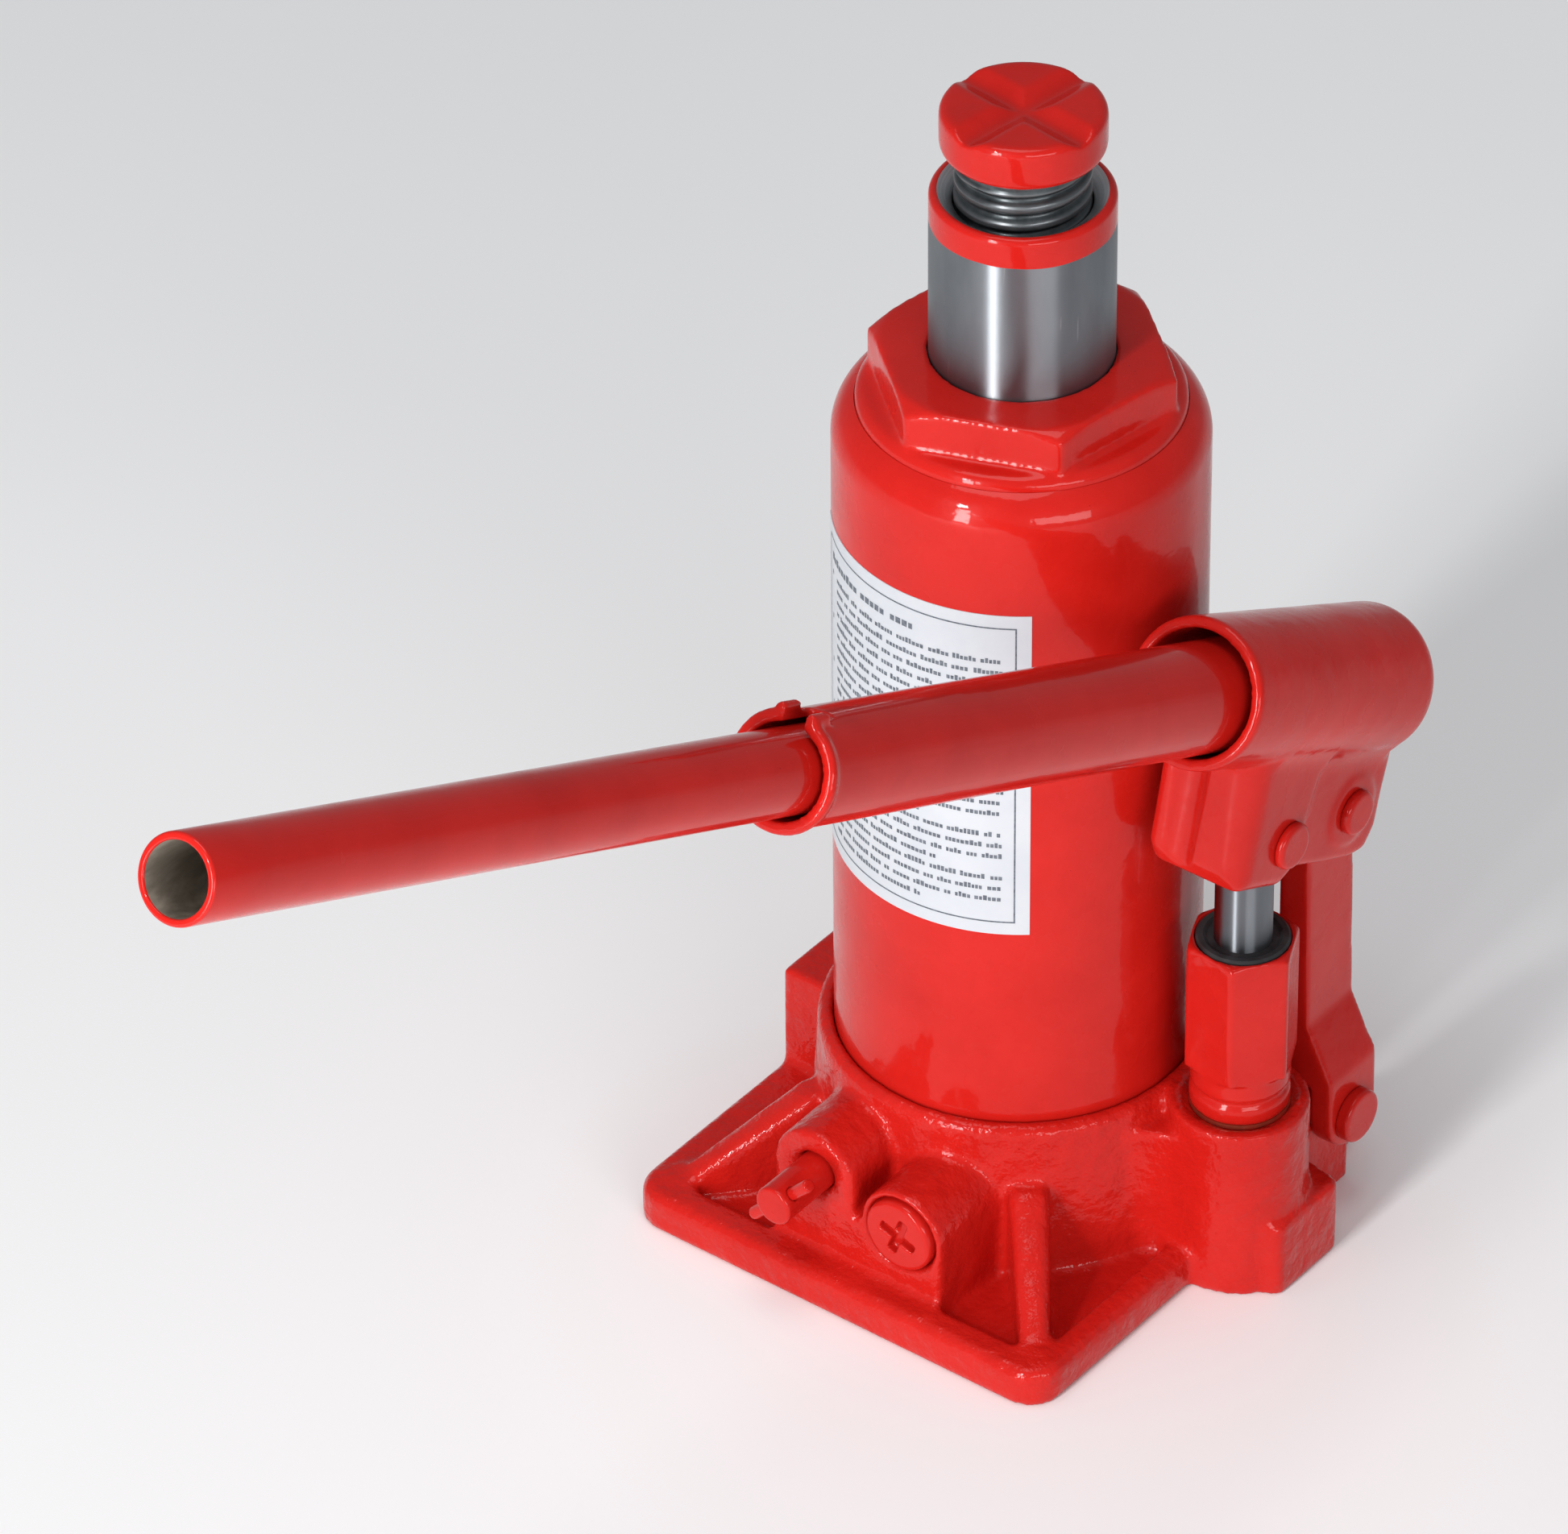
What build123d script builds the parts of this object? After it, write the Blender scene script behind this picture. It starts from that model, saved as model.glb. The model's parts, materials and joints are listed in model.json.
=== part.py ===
"""Hydraulic bottle jack, 10 t class: base casting, oil reservoir, ram with extension screw, hand pump,
release valve and two-piece handle.

Millimetres, +Z up. The origin is on the underside of the base, on the axis of the ram. The pump stands
at +X, the handle points towards -Y and upwards, and the hinge pins run along X.
"""
import os
from math import atan2, cos, degrees, hypot, radians, sin, sqrt

from build123d import *

# ---- Driving dimensions -------------------------------------------------------------------------
# Base casting
SLAB_HALF_X = 54.3
SLAB_FRONT_Y = -65.2
SLAB_REAR_Y = 52.0
SLAB_T = 9.0
SLAB_CORNER_R = 8.0
SLAB_TOP_ROUND = 2.6
POCKET_X = (-43.3, 47.6)
POCKET_Y = (-57.3, 41.0)
POCKET_FLOOR_Z = 4.8
POCKET_DRAFT = 12.0
COLLAR_R = 42.3
COLLAR_FOOT_R = 44.3
COLLAR_TOP_Z = 42.3
COLLAR_LIP = 1.5
SEAT_Z = 36.0
RIB_TOP_Z = 29.0
RIB_INSET = 8.0
RIB_ROOT_HALF_W = 4.8
RIB_END_HALF_W = 3.0
RIB_REACHES = {"front": 78.5, "rear_left": 69.0, "rear_right": 54.0}
REAR_RIB_TURNS = {"rear_left": 136.0, "rear_right": 62.0}
FRONT_FACE_Y = -57.5
FRONT_BOSS_R = 10.4
FRONT_BOSS_ROOT_Y = -30.0
FRONT_BRIDGE_Z = 21.5
SIDE_LUG_Y = (-11.5, 12.0)
SIDE_LUG_Z = 33.5
SIDE_LUG_INSET = 12.3
SIDE_LUG_ROUND = 1.2
PUMP_FOOT_PLAN = ((50.0, -10.0), (56.0, -9.6), (71.5, -3.6), (71.5, 18.0), (50.0, 22.0))
PUMP_FOOT_Z = 18.0
PUMP_FOOT_ROUND = 2.5
PUMP_SKIRT_R = 14.0
PUMP_SKIRT_Z = 37.0

# Reservoir, pressure cylinder and top nut
RES_R = 38.8
RES_WALL = 3.0
RES_STRAIGHT_TOP = 190.8
RES_SHOULDER_R = 9.6
RES_SEAT_TOP = 195.8
GASKET_T = 1.0
CYL_R = 24.5
CYL_BORE_R = 21.0
CYL_BOTTOM_Z = 24.0
CYL_TOP_Z = 203.5
NUT_FLANGE_R = 34.0
NUT_FLANGE_TOP = 201.9
NUT_FLANGE_CUT = 1.6
NUT_TOP = 211.3
NUT_CORNER_R = 32.8
NUT_TURN = 20.5
NUT_GUIDE_BOTTOM = 189.5
NUT_CHAMFER = 3.4
WIPER_T = 1.2
WIPER_Z = (207.9, 209.9)
ROD_SEAL_T = 2.4
ROD_SEAL_Z = (204.9, 206.9)

# Ram, extension screw and saddle
RAM_R = 19.0
RAM_TOP = 249.6
RAM_BOTTOM = 70.0
PISTON_BOTTOM = 56.0
PISTON_LAND_Z = 62.0
PISTON_NOSE_R = 12.0
PISTON_RING_T = 1.5
RAM_LIP_R = 1.4
RAM_CHAMFER = 3.0
RAM_THREAD_R = 14.3
RAM_WIDE_R = 15.3
RAM_THREAD_BOTTOM = 228.5
RAM_BORE_BOTTOM = 138.0
SCREW_CREST_R = 14.0
SCREW_ROOT_R = 12.9
SCREW_PITCH = 4.0
SCREW_BOTTOM = 148.5
SCREW_NECK_L = 4.5
SCREW_TAIL_L = 4.5
SCREW_TAIL_R = 11.0
STOP_RING_T = 1.6
SPIGOT_R = 6.0
SPIGOT_L = 5.0
SADDLE_R = 17.0
SADDLE_BOTTOM = 259.5
SADDLE_TOP = 269.5
SADDLE_GROOVE_W = 8.4
SADDLE_GROOVE_DEPTH = 1.7
SADDLE_TURN = -8.0
SADDLE_FOOT_ROUND = 2.2
SADDLE_TOP_ROUND = 1.8

# Pump
PUMP_X = 55.3
PUMP_Y = 3.46
PUMP_BOSS_R = 14.9
PUMP_BOSS_TOP = 42.6
PUMP_RECESS_R = 12.2
PUMP_RECESS_T = 1.2
PUMP_SHANK_R = 9.5
PUMP_SHANK_BOTTOM = 22.0
PUMP_NECK_R = 10.7
PUMP_HEX_BOTTOM = 53.0
PUMP_HEX_R = 12.5
PUMP_TOP = 84.6
PUMP_TURN = 54.5
PUMP_HEX_CHAMFER = 1.6
PUMP_GROOVE_DEPTH = 0.9
PUMP_GROOVE_Z = (46.8, 47.8)
PUMP_SEAL_R = 10.0
PUMP_SEAL_T = 3.0
PLUNGER_R = 6.1
PLUNGER_BOTTOM = 46.0
PLUNGER_SPIGOT_R = 3.0
TONGUE_HALF_X = 4.2

# Pump linkage, all pins along X at X = PUMP_X
LOWER_PIN = (30.4, 25.2)
UPPER_PIN = (28.2, 106.2)
SOCKET_TILT = 27.66
PLUNGER_PIN_LOCAL = (25.1, -5.4)
LOWER_PIN_R = 3.5
LOWER_HEAD_R = 6.0
LOWER_HEAD_T = 3.0
CLIP_R = 5.6
CLIP_BORE_R = 2.75
UPPER_PIN_R = 3.2
PLUNGER_PIN_R = 3.0
UPPER_HEAD_R = 5.0
PLUNGER_HEAD_R = 5.2
RIVET_HEAD_T = 2.0
LINK_T = 7.6
LINK_HALF_W = 8.3
LINK_SET_BACK = 0.7
FORK_HALF_X = 10.0
FORK_SHOULDER_Z = 11.5
FORK_WAIST_Z = 25.0
EYE_END_R = 6.9
EYE_RISE = 0.25
EYE_PLAY = 0.6
EYE_SHIFTS = (0.2, -1.3, -2.8)
LUG_T = 8.0
LUG_R = 8.0
LUG_WEB_Z = 16.0
FORK_PLAY = 0.35

# Handle socket, measured from the upper link pin: along the handle, and square to it
SOCKET_R = 15.9
SOCKET_BORE_R = 13.3
SOCKET_AXIS_N = 25.5
SOCKET_REAR = -10.0
SOCKET_FRONT = 63.4
SOCKET_BORE_END = 2.0
SOCKET_END_ROUND = 4.5
SOCKET_MOUTH_ROUND = 0.9
BOX_TOE = 41.5
BOX_BROW = 47.0
BOX_BOTTOM_N = -16.2
BOX_INNER_X = -12.8
BOX_HALF_X = 10.8
CHEEK_HALF_X = 9.2
CHEEK_STEP = 18.5
LINK_BOSS_R = 7.6
LINK_BOSS_T = 0.6
BOX_CORNER_R = 7.0
SEAM_R = 9.0
VALLEY_R = 5.0
VALLEY_X = -4.6
LINK_PLAY = 0.75
PLUNGER_PLAY = 0.6

# Handle tubes
HANDLE_TILT = 24.9
HANDLE_CROSS = 37.0
HANDLE_LIFT = 0.2
LOWER_TUBE_R = 11.56
LOWER_TUBE_WALL = 1.9
LOWER_TUBE_REAR = 12.0
LOWER_TUBE_FRONT = 212.0
UPPER_TUBE_R = 8.62
UPPER_TUBE_WALL = 1.55
UPPER_TUBE_REAR = 150.0
UPPER_TUBE_FRONT = 402.0
CRIMP_DEPTH = 1.6
TUBE_LIP_ROUND = 0.6
NOTCH_W = 5.0
NOTCH_L = 9.0
MOUTH_LIP_R = 12.4
MOUTH_LIP_L = 2.6
EAR_R = 1.5
EAR_L = 6.0

# Valves
RELEASE_X = -10.5
RELEASE_Z = 28.1
RELEASE_R = 4.5
RELEASE_TIP_Y = -71.3
RELEASE_END_Y = -39.5
RELEASE_GROOVE_R = 3.2
RELEASE_GROOVE_Y = (-44.0, -42.0)
VALVE_SEAT_Y = -33.5
BALL_SEAT_GAP = 2.75
DELIVERY_BALL_BACK = 10.1
SPRING_GAP = 0.6
CROSS_PIN_Y = -68.0
CROSS_PIN_R = 1.5
CROSS_PIN_L = 21.0
CROSS_PIN_TURN = 45.0
RELIEF_X = 12.3
RELIEF_Z = 22.8
RELIEF_PLUG_R = 8.4
RELIEF_PLUG_PROUD = 0.9
CROSS_SLOT_L = 9.2
CROSS_SLOT_W = 2.2
CROSS_SLOT_DEPTH = 2.2
CROSS_SLOT_TURN = 20.0
BALL_R = 3.1
VALVE_BORE_R = 3.4
OIL_WAY_R = 1.6
OIL_WAY_Z = 17.5
SEAT_LAND = 3.0
WELL_R = 17.0
WELL_BOTTOM_Z = 14.0
SUCTION_X = 31.5
SUCTION_Z = 8.5
SUCTION_SEAT_Z = 10.0
DELIVERY_SEAT_X = 26.0
PLUG_THREAD_R = 6.0
PLUG_THREAD_END_Y = -46.0

# Label and filler plug
LABEL_T = 0.15
LABEL_FROM = -140.0
LABEL_TO = -50.0
LABEL_Z = (91.0, 172.0)
FILLER_Z = 170.0
FILLER_R = 4.0
FILLER_HEAD_R = 7.0
FILLER_HEAD_T = 3.0

RUNNING = 0.05
SNUG = 0.02


# ---- Shared shapes ------------------------------------------------------------------------------
def cyl_z(r, z0, z1, x=0.0, y=0.0):
    return Pos(x, y, (z0 + z1) / 2) * Cylinder(r, z1 - z0)


def cyl_y(r, y0, y1, x=0.0, z=0.0):
    return Pos(x, (y0 + y1) / 2, z) * Rot(90, 0, 0) * Cylinder(r, y1 - y0)


def cyl_x(r, x0, x1, y=0.0, z=0.0):
    return Pos((x0 + x1) / 2, y, z) * Rot(0, 90, 0) * Cylinder(r, x1 - x0)


def block(x0, x1, y0, y1, z0, z1):
    return Pos((x0 + x1) / 2, (y0 + y1) / 2, (z0 + z1) / 2) * Box(x1 - x0, y1 - y0, z1 - z0)


def ring_z(r_out, r_in, z0, z1, x=0.0, y=0.0):
    return cyl_z(r_out, z0, z1, x, y) - cyl_z(r_in, z0 - 1, z1 + 1, x, y)


def turned(points):
    """A solid turned about Z from an outline of (radius, height) points."""
    return revolve(Plane.XZ * make_face(Polyline(*points, close=True)), Axis.Z)


def hex_prism(corner_r, z0, z1, turn, x=0.0, y=0.0):
    return Pos(x, y, z0) * Rot(0, 0, turn) * extrude(RegularPolygon(corner_r, 6), z1 - z0)


def rounded_hex(corner_r, z0, z1, turn, cut, x=0.0, y=0.0):
    """A hexagon with its top corners turned off at 30 degrees, as on a machined nut."""
    rise = cut * 0.58
    envelope = Pos(x, y, 0) * turned([
        (0, z0), (corner_r + 1, z0), (corner_r + 1, z1 - rise - 0.58), (corner_r - cut, z1), (0, z1)])
    return hex_prism(corner_r, z0, z1, turn, x, y) & envelope


def coil_spring(coil_r, wire_r, length, turns):
    """A helical spring standing on Z = 0."""
    path = Helix(pitch=length / turns, height=length, radius=coil_r)
    section = Plane(path @ 0, z_dir=path % 0) * Circle(wire_r)
    return sweep(section, path=path, is_frenet=True)


def round_edges(shape, edges, radius):
    """Fillet the edges, stepping the radius down until the solid stays valid."""
    for size in (radius, radius * 0.6, radius * 0.35):
        try:
            result = fillet(edges, size)
        except ValueError:
            continue
        if result.is_valid:
            return result
    return shape


# ---- Base casting -------------------------------------------------------------------------------
def base_slab():
    length = SLAB_REAR_Y - SLAB_FRONT_Y
    middle_y = (SLAB_REAR_Y + SLAB_FRONT_Y) / 2
    plan = Pos(0, middle_y) * RectangleRounded(2 * SLAB_HALF_X, length, SLAB_CORNER_R)
    slab = extrude(plan, SLAB_T)
    slab = fillet(slab.edges().group_by(Axis.Z)[-1], SLAB_TOP_ROUND)
    pocket_plan = Pos(sum(POCKET_X) / 2, sum(POCKET_Y) / 2, POCKET_FLOOR_Z) * RectangleRounded(
        POCKET_X[1] - POCKET_X[0], POCKET_Y[1] - POCKET_Y[0], SLAB_CORNER_R * 0.6)
    return slab - extrude(pocket_plan, SLAB_T, taper=-POCKET_DRAFT)


def corner_rib(angle, reach):
    """A rib that leaves the collar at RIB_TOP_Z and falls to the rim of the slab."""
    start = COLLAR_R - RIB_INSET
    plan = extrude(make_face(Polyline(
        (start, -RIB_ROOT_HALF_W), (reach, -RIB_END_HALF_W), (reach, RIB_END_HALF_W),
        (start, RIB_ROOT_HALF_W), close=True)), RIB_TOP_Z + 5)
    side = Plane.XZ * make_face(Polyline(
        (start, 0), (reach, 0), (reach, SLAB_T), (reach - 6, SLAB_T + 0.6),
        (COLLAR_R + 3.5, RIB_TOP_Z - 1), (start, RIB_TOP_Z), close=True))
    rib = plan & extrude(side, 20, both=True)
    crest = rib.edges().filter_by(lambda e: e.center().Z > SLAB_T and e.length > 8)
    return Rot(0, 0, angle) * round_edges(rib, crest, RIB_END_HALF_W * 0.8)


def front_boss(x, z):
    """A round-topped boss with straight flanks, running from the front face back into the collar."""
    boss = cyl_y(FRONT_BOSS_R, FRONT_FACE_Y, FRONT_BOSS_ROOT_Y, x, z)
    return boss + block(x - FRONT_BOSS_R, x + FRONT_BOSS_R, FRONT_FACE_Y, FRONT_BOSS_ROOT_Y, 0, z)


def pump_skirt():
    """The wall that sweeps from the collar into the pump boss, with a concave curve on each side."""
    span = hypot(PUMP_X, PUMP_Y)
    near = COLLAR_R + PUMP_SKIRT_R
    far = PUMP_BOSS_R + PUMP_SKIRT_R
    along = (near ** 2 - far ** 2 + span ** 2) / (2 * span)
    across = sqrt(near ** 2 - along ** 2)
    x0 = along * COLLAR_R / near
    y0 = across * COLLAR_R / near
    x1 = span - (span - along) * PUMP_BOSS_R / far
    y1 = across * PUMP_BOSS_R / far
    plan = make_face(Polyline((x0, -y0), (x1, -y1), (x1, y1), (x0, y0), close=True))
    for side in (-1, 1):
        plan -= Pos(along, side * across) * Circle(PUMP_SKIRT_R)
    return Rot(0, 0, degrees(atan2(PUMP_Y, PUMP_X))) * extrude(plan, PUMP_SKIRT_Z)


def pump_boss():
    boss = cyl_z(PUMP_BOSS_R, 0, PUMP_BOSS_TOP, PUMP_X, PUMP_Y)
    foot = extrude(make_face(Polyline(*PUMP_FOOT_PLAN, close=True)), PUMP_FOOT_Z)
    foot = fillet(foot.edges().filter_by(Axis.Z).group_by(Axis.X)[-1], PUMP_FOOT_ROUND)
    return boss + foot + pump_skirt()


def link_lug():
    y, z = LOWER_PIN
    x0 = PUMP_X - LUG_T / 2
    x1 = PUMP_X + LUG_T / 2
    lug = cyl_x(LUG_R, x0, x1, y, z) + block(x0, x1, y - LUG_R, y + LUG_R, 0, z)
    return lug + block(x0, x1, PUMP_Y, y, 0, LUG_WEB_Z)


def oil_way(x, y_seat, z_seat):
    """Drillings from a valve seat on the front face down and back to the well under the cylinder."""
    y_drop = y_seat + SEAT_LAND
    way = cyl_y(OIL_WAY_R, y_seat - 1, y_drop, x, z_seat)
    way += cyl_z(OIL_WAY_R, OIL_WAY_Z, z_seat, x, y_drop)
    way += cyl_y(OIL_WAY_R, y_drop, -WELL_R * 0.5, x, OIL_WAY_Z)
    return way


def pump_cavities():
    """Threaded bore with a gasket recess, suction ball chamber below, delivery way to the well."""
    bore = cyl_z(PUMP_SHANK_R + SNUG, PUMP_SHANK_BOTTOM, PUMP_BOSS_TOP + 1, PUMP_X, PUMP_Y)
    bore += cyl_z(PUMP_RECESS_R, PUMP_BOSS_TOP - PUMP_RECESS_T, PUMP_BOSS_TOP + 1, PUMP_X, PUMP_Y)
    bore += cyl_z(VALVE_BORE_R, SUCTION_SEAT_Z, PUMP_SHANK_BOTTOM + 1, PUMP_X, PUMP_Y)
    delivery = cyl_x(VALVE_BORE_R, DELIVERY_SEAT_X, PUMP_X, PUMP_Y, OIL_WAY_Z)
    delivery += cyl_x(OIL_WAY_R, WELL_R - 7, DELIVERY_SEAT_X + 1, PUMP_Y, OIL_WAY_Z)
    suction_y = PUMP_Y - 12
    run = hypot(PUMP_X - SUCTION_X, PUMP_Y - suction_y)
    turn = degrees(atan2(PUMP_Y - suction_y, PUMP_X - SUCTION_X))
    suction = cyl_z(OIL_WAY_R, SUCTION_Z, SEAT_Z + 1, SUCTION_X, suction_y)
    suction += Pos(SUCTION_X, suction_y, SUCTION_Z) * Rot(0, 0, turn) * cyl_x(OIL_WAY_R, 0, run)
    suction += cyl_z(OIL_WAY_R, SUCTION_Z, SUCTION_SEAT_Z + 1, PUMP_X, PUMP_Y)
    return bore, delivery, suction


def valve_cavities():
    """The release valve's smooth bore, and the relief valve's counterbore, thread and spring chamber."""
    release = cyl_y(RELEASE_R + RUNNING, FRONT_FACE_Y - 1, RELEASE_END_Y + 1.5, RELEASE_X, RELEASE_Z)
    release += cyl_y(RELEASE_R + 1.5, FRONT_FACE_Y - 1, FRONT_FACE_Y + 1.2, RELEASE_X, RELEASE_Z)
    release += cyl_y(VALVE_BORE_R, RELEASE_END_Y, VALVE_SEAT_Y, RELEASE_X, RELEASE_Z)
    release += oil_way(RELEASE_X, VALVE_SEAT_Y, RELEASE_Z)
    relief = cyl_y(RELIEF_PLUG_R + 0.35, FRONT_FACE_Y - 1, FRONT_FACE_Y + 3, RELIEF_X, RELIEF_Z)
    relief += cyl_y(PLUG_THREAD_R + SNUG, FRONT_FACE_Y, PLUG_THREAD_END_Y, RELIEF_X, RELIEF_Z)
    relief += cyl_y(VALVE_BORE_R, PLUG_THREAD_END_Y - 1, VALVE_SEAT_Y, RELIEF_X, RELIEF_Z)
    relief += oil_way(RELIEF_X, VALVE_SEAT_Y, RELIEF_Z)
    return release, relief


def base_cavities():
    seat = cyl_z(RES_R + SNUG, SEAT_Z, COLLAR_TOP_Z + 5)
    socket = cyl_z(CYL_R + SNUG, CYL_BOTTOM_Z - GASKET_T, SEAT_Z + 1)
    well = cyl_z(WELL_R, WELL_BOTTOM_Z, CYL_BOTTOM_Z)
    pin = cyl_x(LOWER_PIN_R + RUNNING, PUMP_X - 15, PUMP_X + 10, *LOWER_PIN)
    return [seat, socket, well, pin, *pump_cavities(), *valve_cavities()]


def base_casting():
    base = base_slab()
    base += turned([(0, 0), (COLLAR_FOOT_R, 0), (COLLAR_R, COLLAR_TOP_Z - COLLAR_LIP),
                    (COLLAR_R - COLLAR_LIP, COLLAR_TOP_Z), (0, COLLAR_TOP_Z)])
    front_turn = degrees(atan2(SLAB_FRONT_Y, SLAB_HALF_X))
    for turn in (front_turn, 180 - front_turn):
        base += corner_rib(turn, RIB_REACHES["front"])
    for place, turn in REAR_RIB_TURNS.items():
        base += corner_rib(turn, RIB_REACHES[place])
    base += front_boss(RELEASE_X, RELEASE_Z)
    base += front_boss(RELIEF_X, RELIEF_Z)
    base += block(RELEASE_X, RELIEF_X, FRONT_FACE_Y, FRONT_BOSS_ROOT_Y, 0, FRONT_BRIDGE_Z)
    side_lug = block(-SLAB_HALF_X, -COLLAR_R + SIDE_LUG_INSET, *SIDE_LUG_Y, 0, SIDE_LUG_Z)
    base += round_edges(side_lug, side_lug.edges().group_by(Axis.X)[0], SIDE_LUG_ROUND)
    base += pump_boss()
    base += link_lug()
    for cavity in base_cavities():
        base -= cavity
    return base


# ---- Reservoir, pressure cylinder and top nut ---------------------------------------------------
def reservoir_tube():
    bottom = SEAT_Z + GASKET_T
    inner = RES_R - RES_WALL
    shoulder_x = RES_R - RES_SHOULDER_R
    top = RES_STRAIGHT_TOP + RES_SHOULDER_R
    outer = Line((RES_R, bottom), (RES_R, RES_STRAIGHT_TOP))
    arc = RadiusArc((RES_R, RES_STRAIGHT_TOP), (shoulder_x, top), -RES_SHOULDER_R)
    under_seat = RES_SEAT_TOP - RES_WALL
    inside = Polyline(
        (shoulder_x, top), (CYL_R + 1, top), (CYL_R + 1, under_seat), (inner - 6, under_seat),
        (inner, under_seat - 6), (inner, bottom), (RES_R, bottom))
    tube = revolve(Plane.XZ * make_face([outer, arc, inside]), Axis.Z)
    tube -= cyl_z(NUT_FLANGE_R + RUNNING, RES_SEAT_TOP, top + 5)
    return tube - cyl_y(FILLER_R, inner - 5, RES_R + 4, 0, FILLER_Z)


def cylinder_tube():
    return ring_z(CYL_R, CYL_BORE_R, CYL_BOTTOM_Z, CYL_TOP_Z)


def top_nut():
    flange_bottom = RES_SEAT_TOP + GASKET_T
    nut = turned([
        (0, flange_bottom), (NUT_FLANGE_R, flange_bottom), (NUT_FLANGE_R, NUT_FLANGE_TOP - NUT_FLANGE_CUT),
        (NUT_FLANGE_R - NUT_FLANGE_CUT, NUT_FLANGE_TOP), (0, NUT_FLANGE_TOP)])
    nut += rounded_hex(NUT_CORNER_R, NUT_FLANGE_TOP - 1, NUT_TOP, NUT_TURN, NUT_CHAMFER)
    nut -= cyl_z(CYL_R + SNUG, flange_bottom - 1, CYL_TOP_Z + 0.3)
    nut += cyl_z(CYL_BORE_R - SNUG, NUT_GUIDE_BOTTOM, CYL_TOP_Z + 1)
    nut -= cyl_z(RAM_R + RUNNING, NUT_GUIDE_BOTTOM - 1, NUT_TOP + 1)
    nut -= cyl_z(RAM_R + WIPER_T, *WIPER_Z)
    return nut - cyl_z(RAM_R + ROD_SEAL_T, *ROD_SEAL_Z)


def top_seals():
    wiper = ring_z(RAM_R + WIPER_T, RAM_R + RUNNING, *WIPER_Z)
    seal = ring_z(RAM_R + ROD_SEAL_T, RAM_R + RUNNING, *ROD_SEAL_Z)
    return wiper, seal


def gaskets():
    top = ring_z(NUT_FLANGE_R - 1, CYL_R + 1, RES_SEAT_TOP, RES_SEAT_TOP + GASKET_T)
    bottom = ring_z(RES_R, RES_R - RES_WALL, SEAT_Z, SEAT_Z + GASKET_T)
    cylinder = ring_z(CYL_R, CYL_BORE_R, CYL_BOTTOM_Z - GASKET_T, CYL_BOTTOM_Z)
    pump_low = PUMP_BOSS_TOP - PUMP_RECESS_T
    pump = ring_z(PUMP_NECK_R - 0.1, PUMP_SHANK_R + 0.1, pump_low, pump_low + GASKET_T, PUMP_X, PUMP_Y)
    return top, bottom, cylinder, pump


def instruction_label():
    sheet = ring_z(RES_R + LABEL_T, RES_R, *LABEL_Z)
    reach = 2 * RES_R
    low = radians(LABEL_FROM)
    high = radians(LABEL_TO)
    middle = (low + high) / 2
    wedge = make_face(Polyline(
        (0, 0), (reach * cos(low), reach * sin(low)),
        (2 * reach * cos(middle), 2 * reach * sin(middle)),
        (reach * cos(high), reach * sin(high)), close=True))
    return sheet & extrude(Pos(0, 0, LABEL_Z[0] - 1) * wedge, LABEL_Z[1] - LABEL_Z[0] + 2)


def filler_plug():
    plug = cyl_y(FILLER_R - RUNNING, RES_R - 6, RES_R + 1, 0, FILLER_Z)
    head = cyl_y(FILLER_HEAD_R, RES_R + 0.3, RES_R + 0.3 + FILLER_HEAD_T, 0, FILLER_Z)
    return plug + fillet(head.edges().group_by(Axis.Y)[-1], 1.4)


# ---- Ram, extension screw and saddle ------------------------------------------------------------
def ram_tube():
    tube = turned([
        (0, RAM_BOTTOM), (RAM_R, RAM_BOTTOM), (RAM_R, RAM_TOP), (RAM_THREAD_R + RAM_CHAMFER, RAM_TOP),
        (RAM_THREAD_R, RAM_TOP - RAM_CHAMFER), (RAM_THREAD_R, RAM_THREAD_BOTTOM),
        (RAM_WIDE_R, RAM_THREAD_BOTTOM), (RAM_WIDE_R, RAM_BORE_BOTTOM), (0, RAM_BORE_BOTTOM)])
    return fillet(tube.edges().group_by(Axis.Z)[-1].sort_by(SortBy.RADIUS)[-1:], RAM_LIP_R)


def ram_piston():
    piston = cyl_z(CYL_BORE_R - RUNNING, PISTON_LAND_Z, RAM_BOTTOM)
    return piston + cyl_z(PISTON_NOSE_R, PISTON_BOTTOM, PISTON_LAND_Z)


def piston_cup_seal():
    low = PISTON_BOTTOM + PISTON_RING_T
    outer = CYL_BORE_R - RUNNING
    return turned([
        (PISTON_NOSE_R, low + 1.5), (outer - 3, low + 1.5), (outer - 1.2, low), (outer, low),
        (outer, PISTON_LAND_Z), (PISTON_NOSE_R, PISTON_LAND_Z)])


def piston_retaining_ring():
    low = PISTON_BOTTOM + 0.3
    return ring_z(CYL_BORE_R - 4, PISTON_NOSE_R, low, PISTON_BOTTOM + PISTON_RING_T + 1.5)


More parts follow.
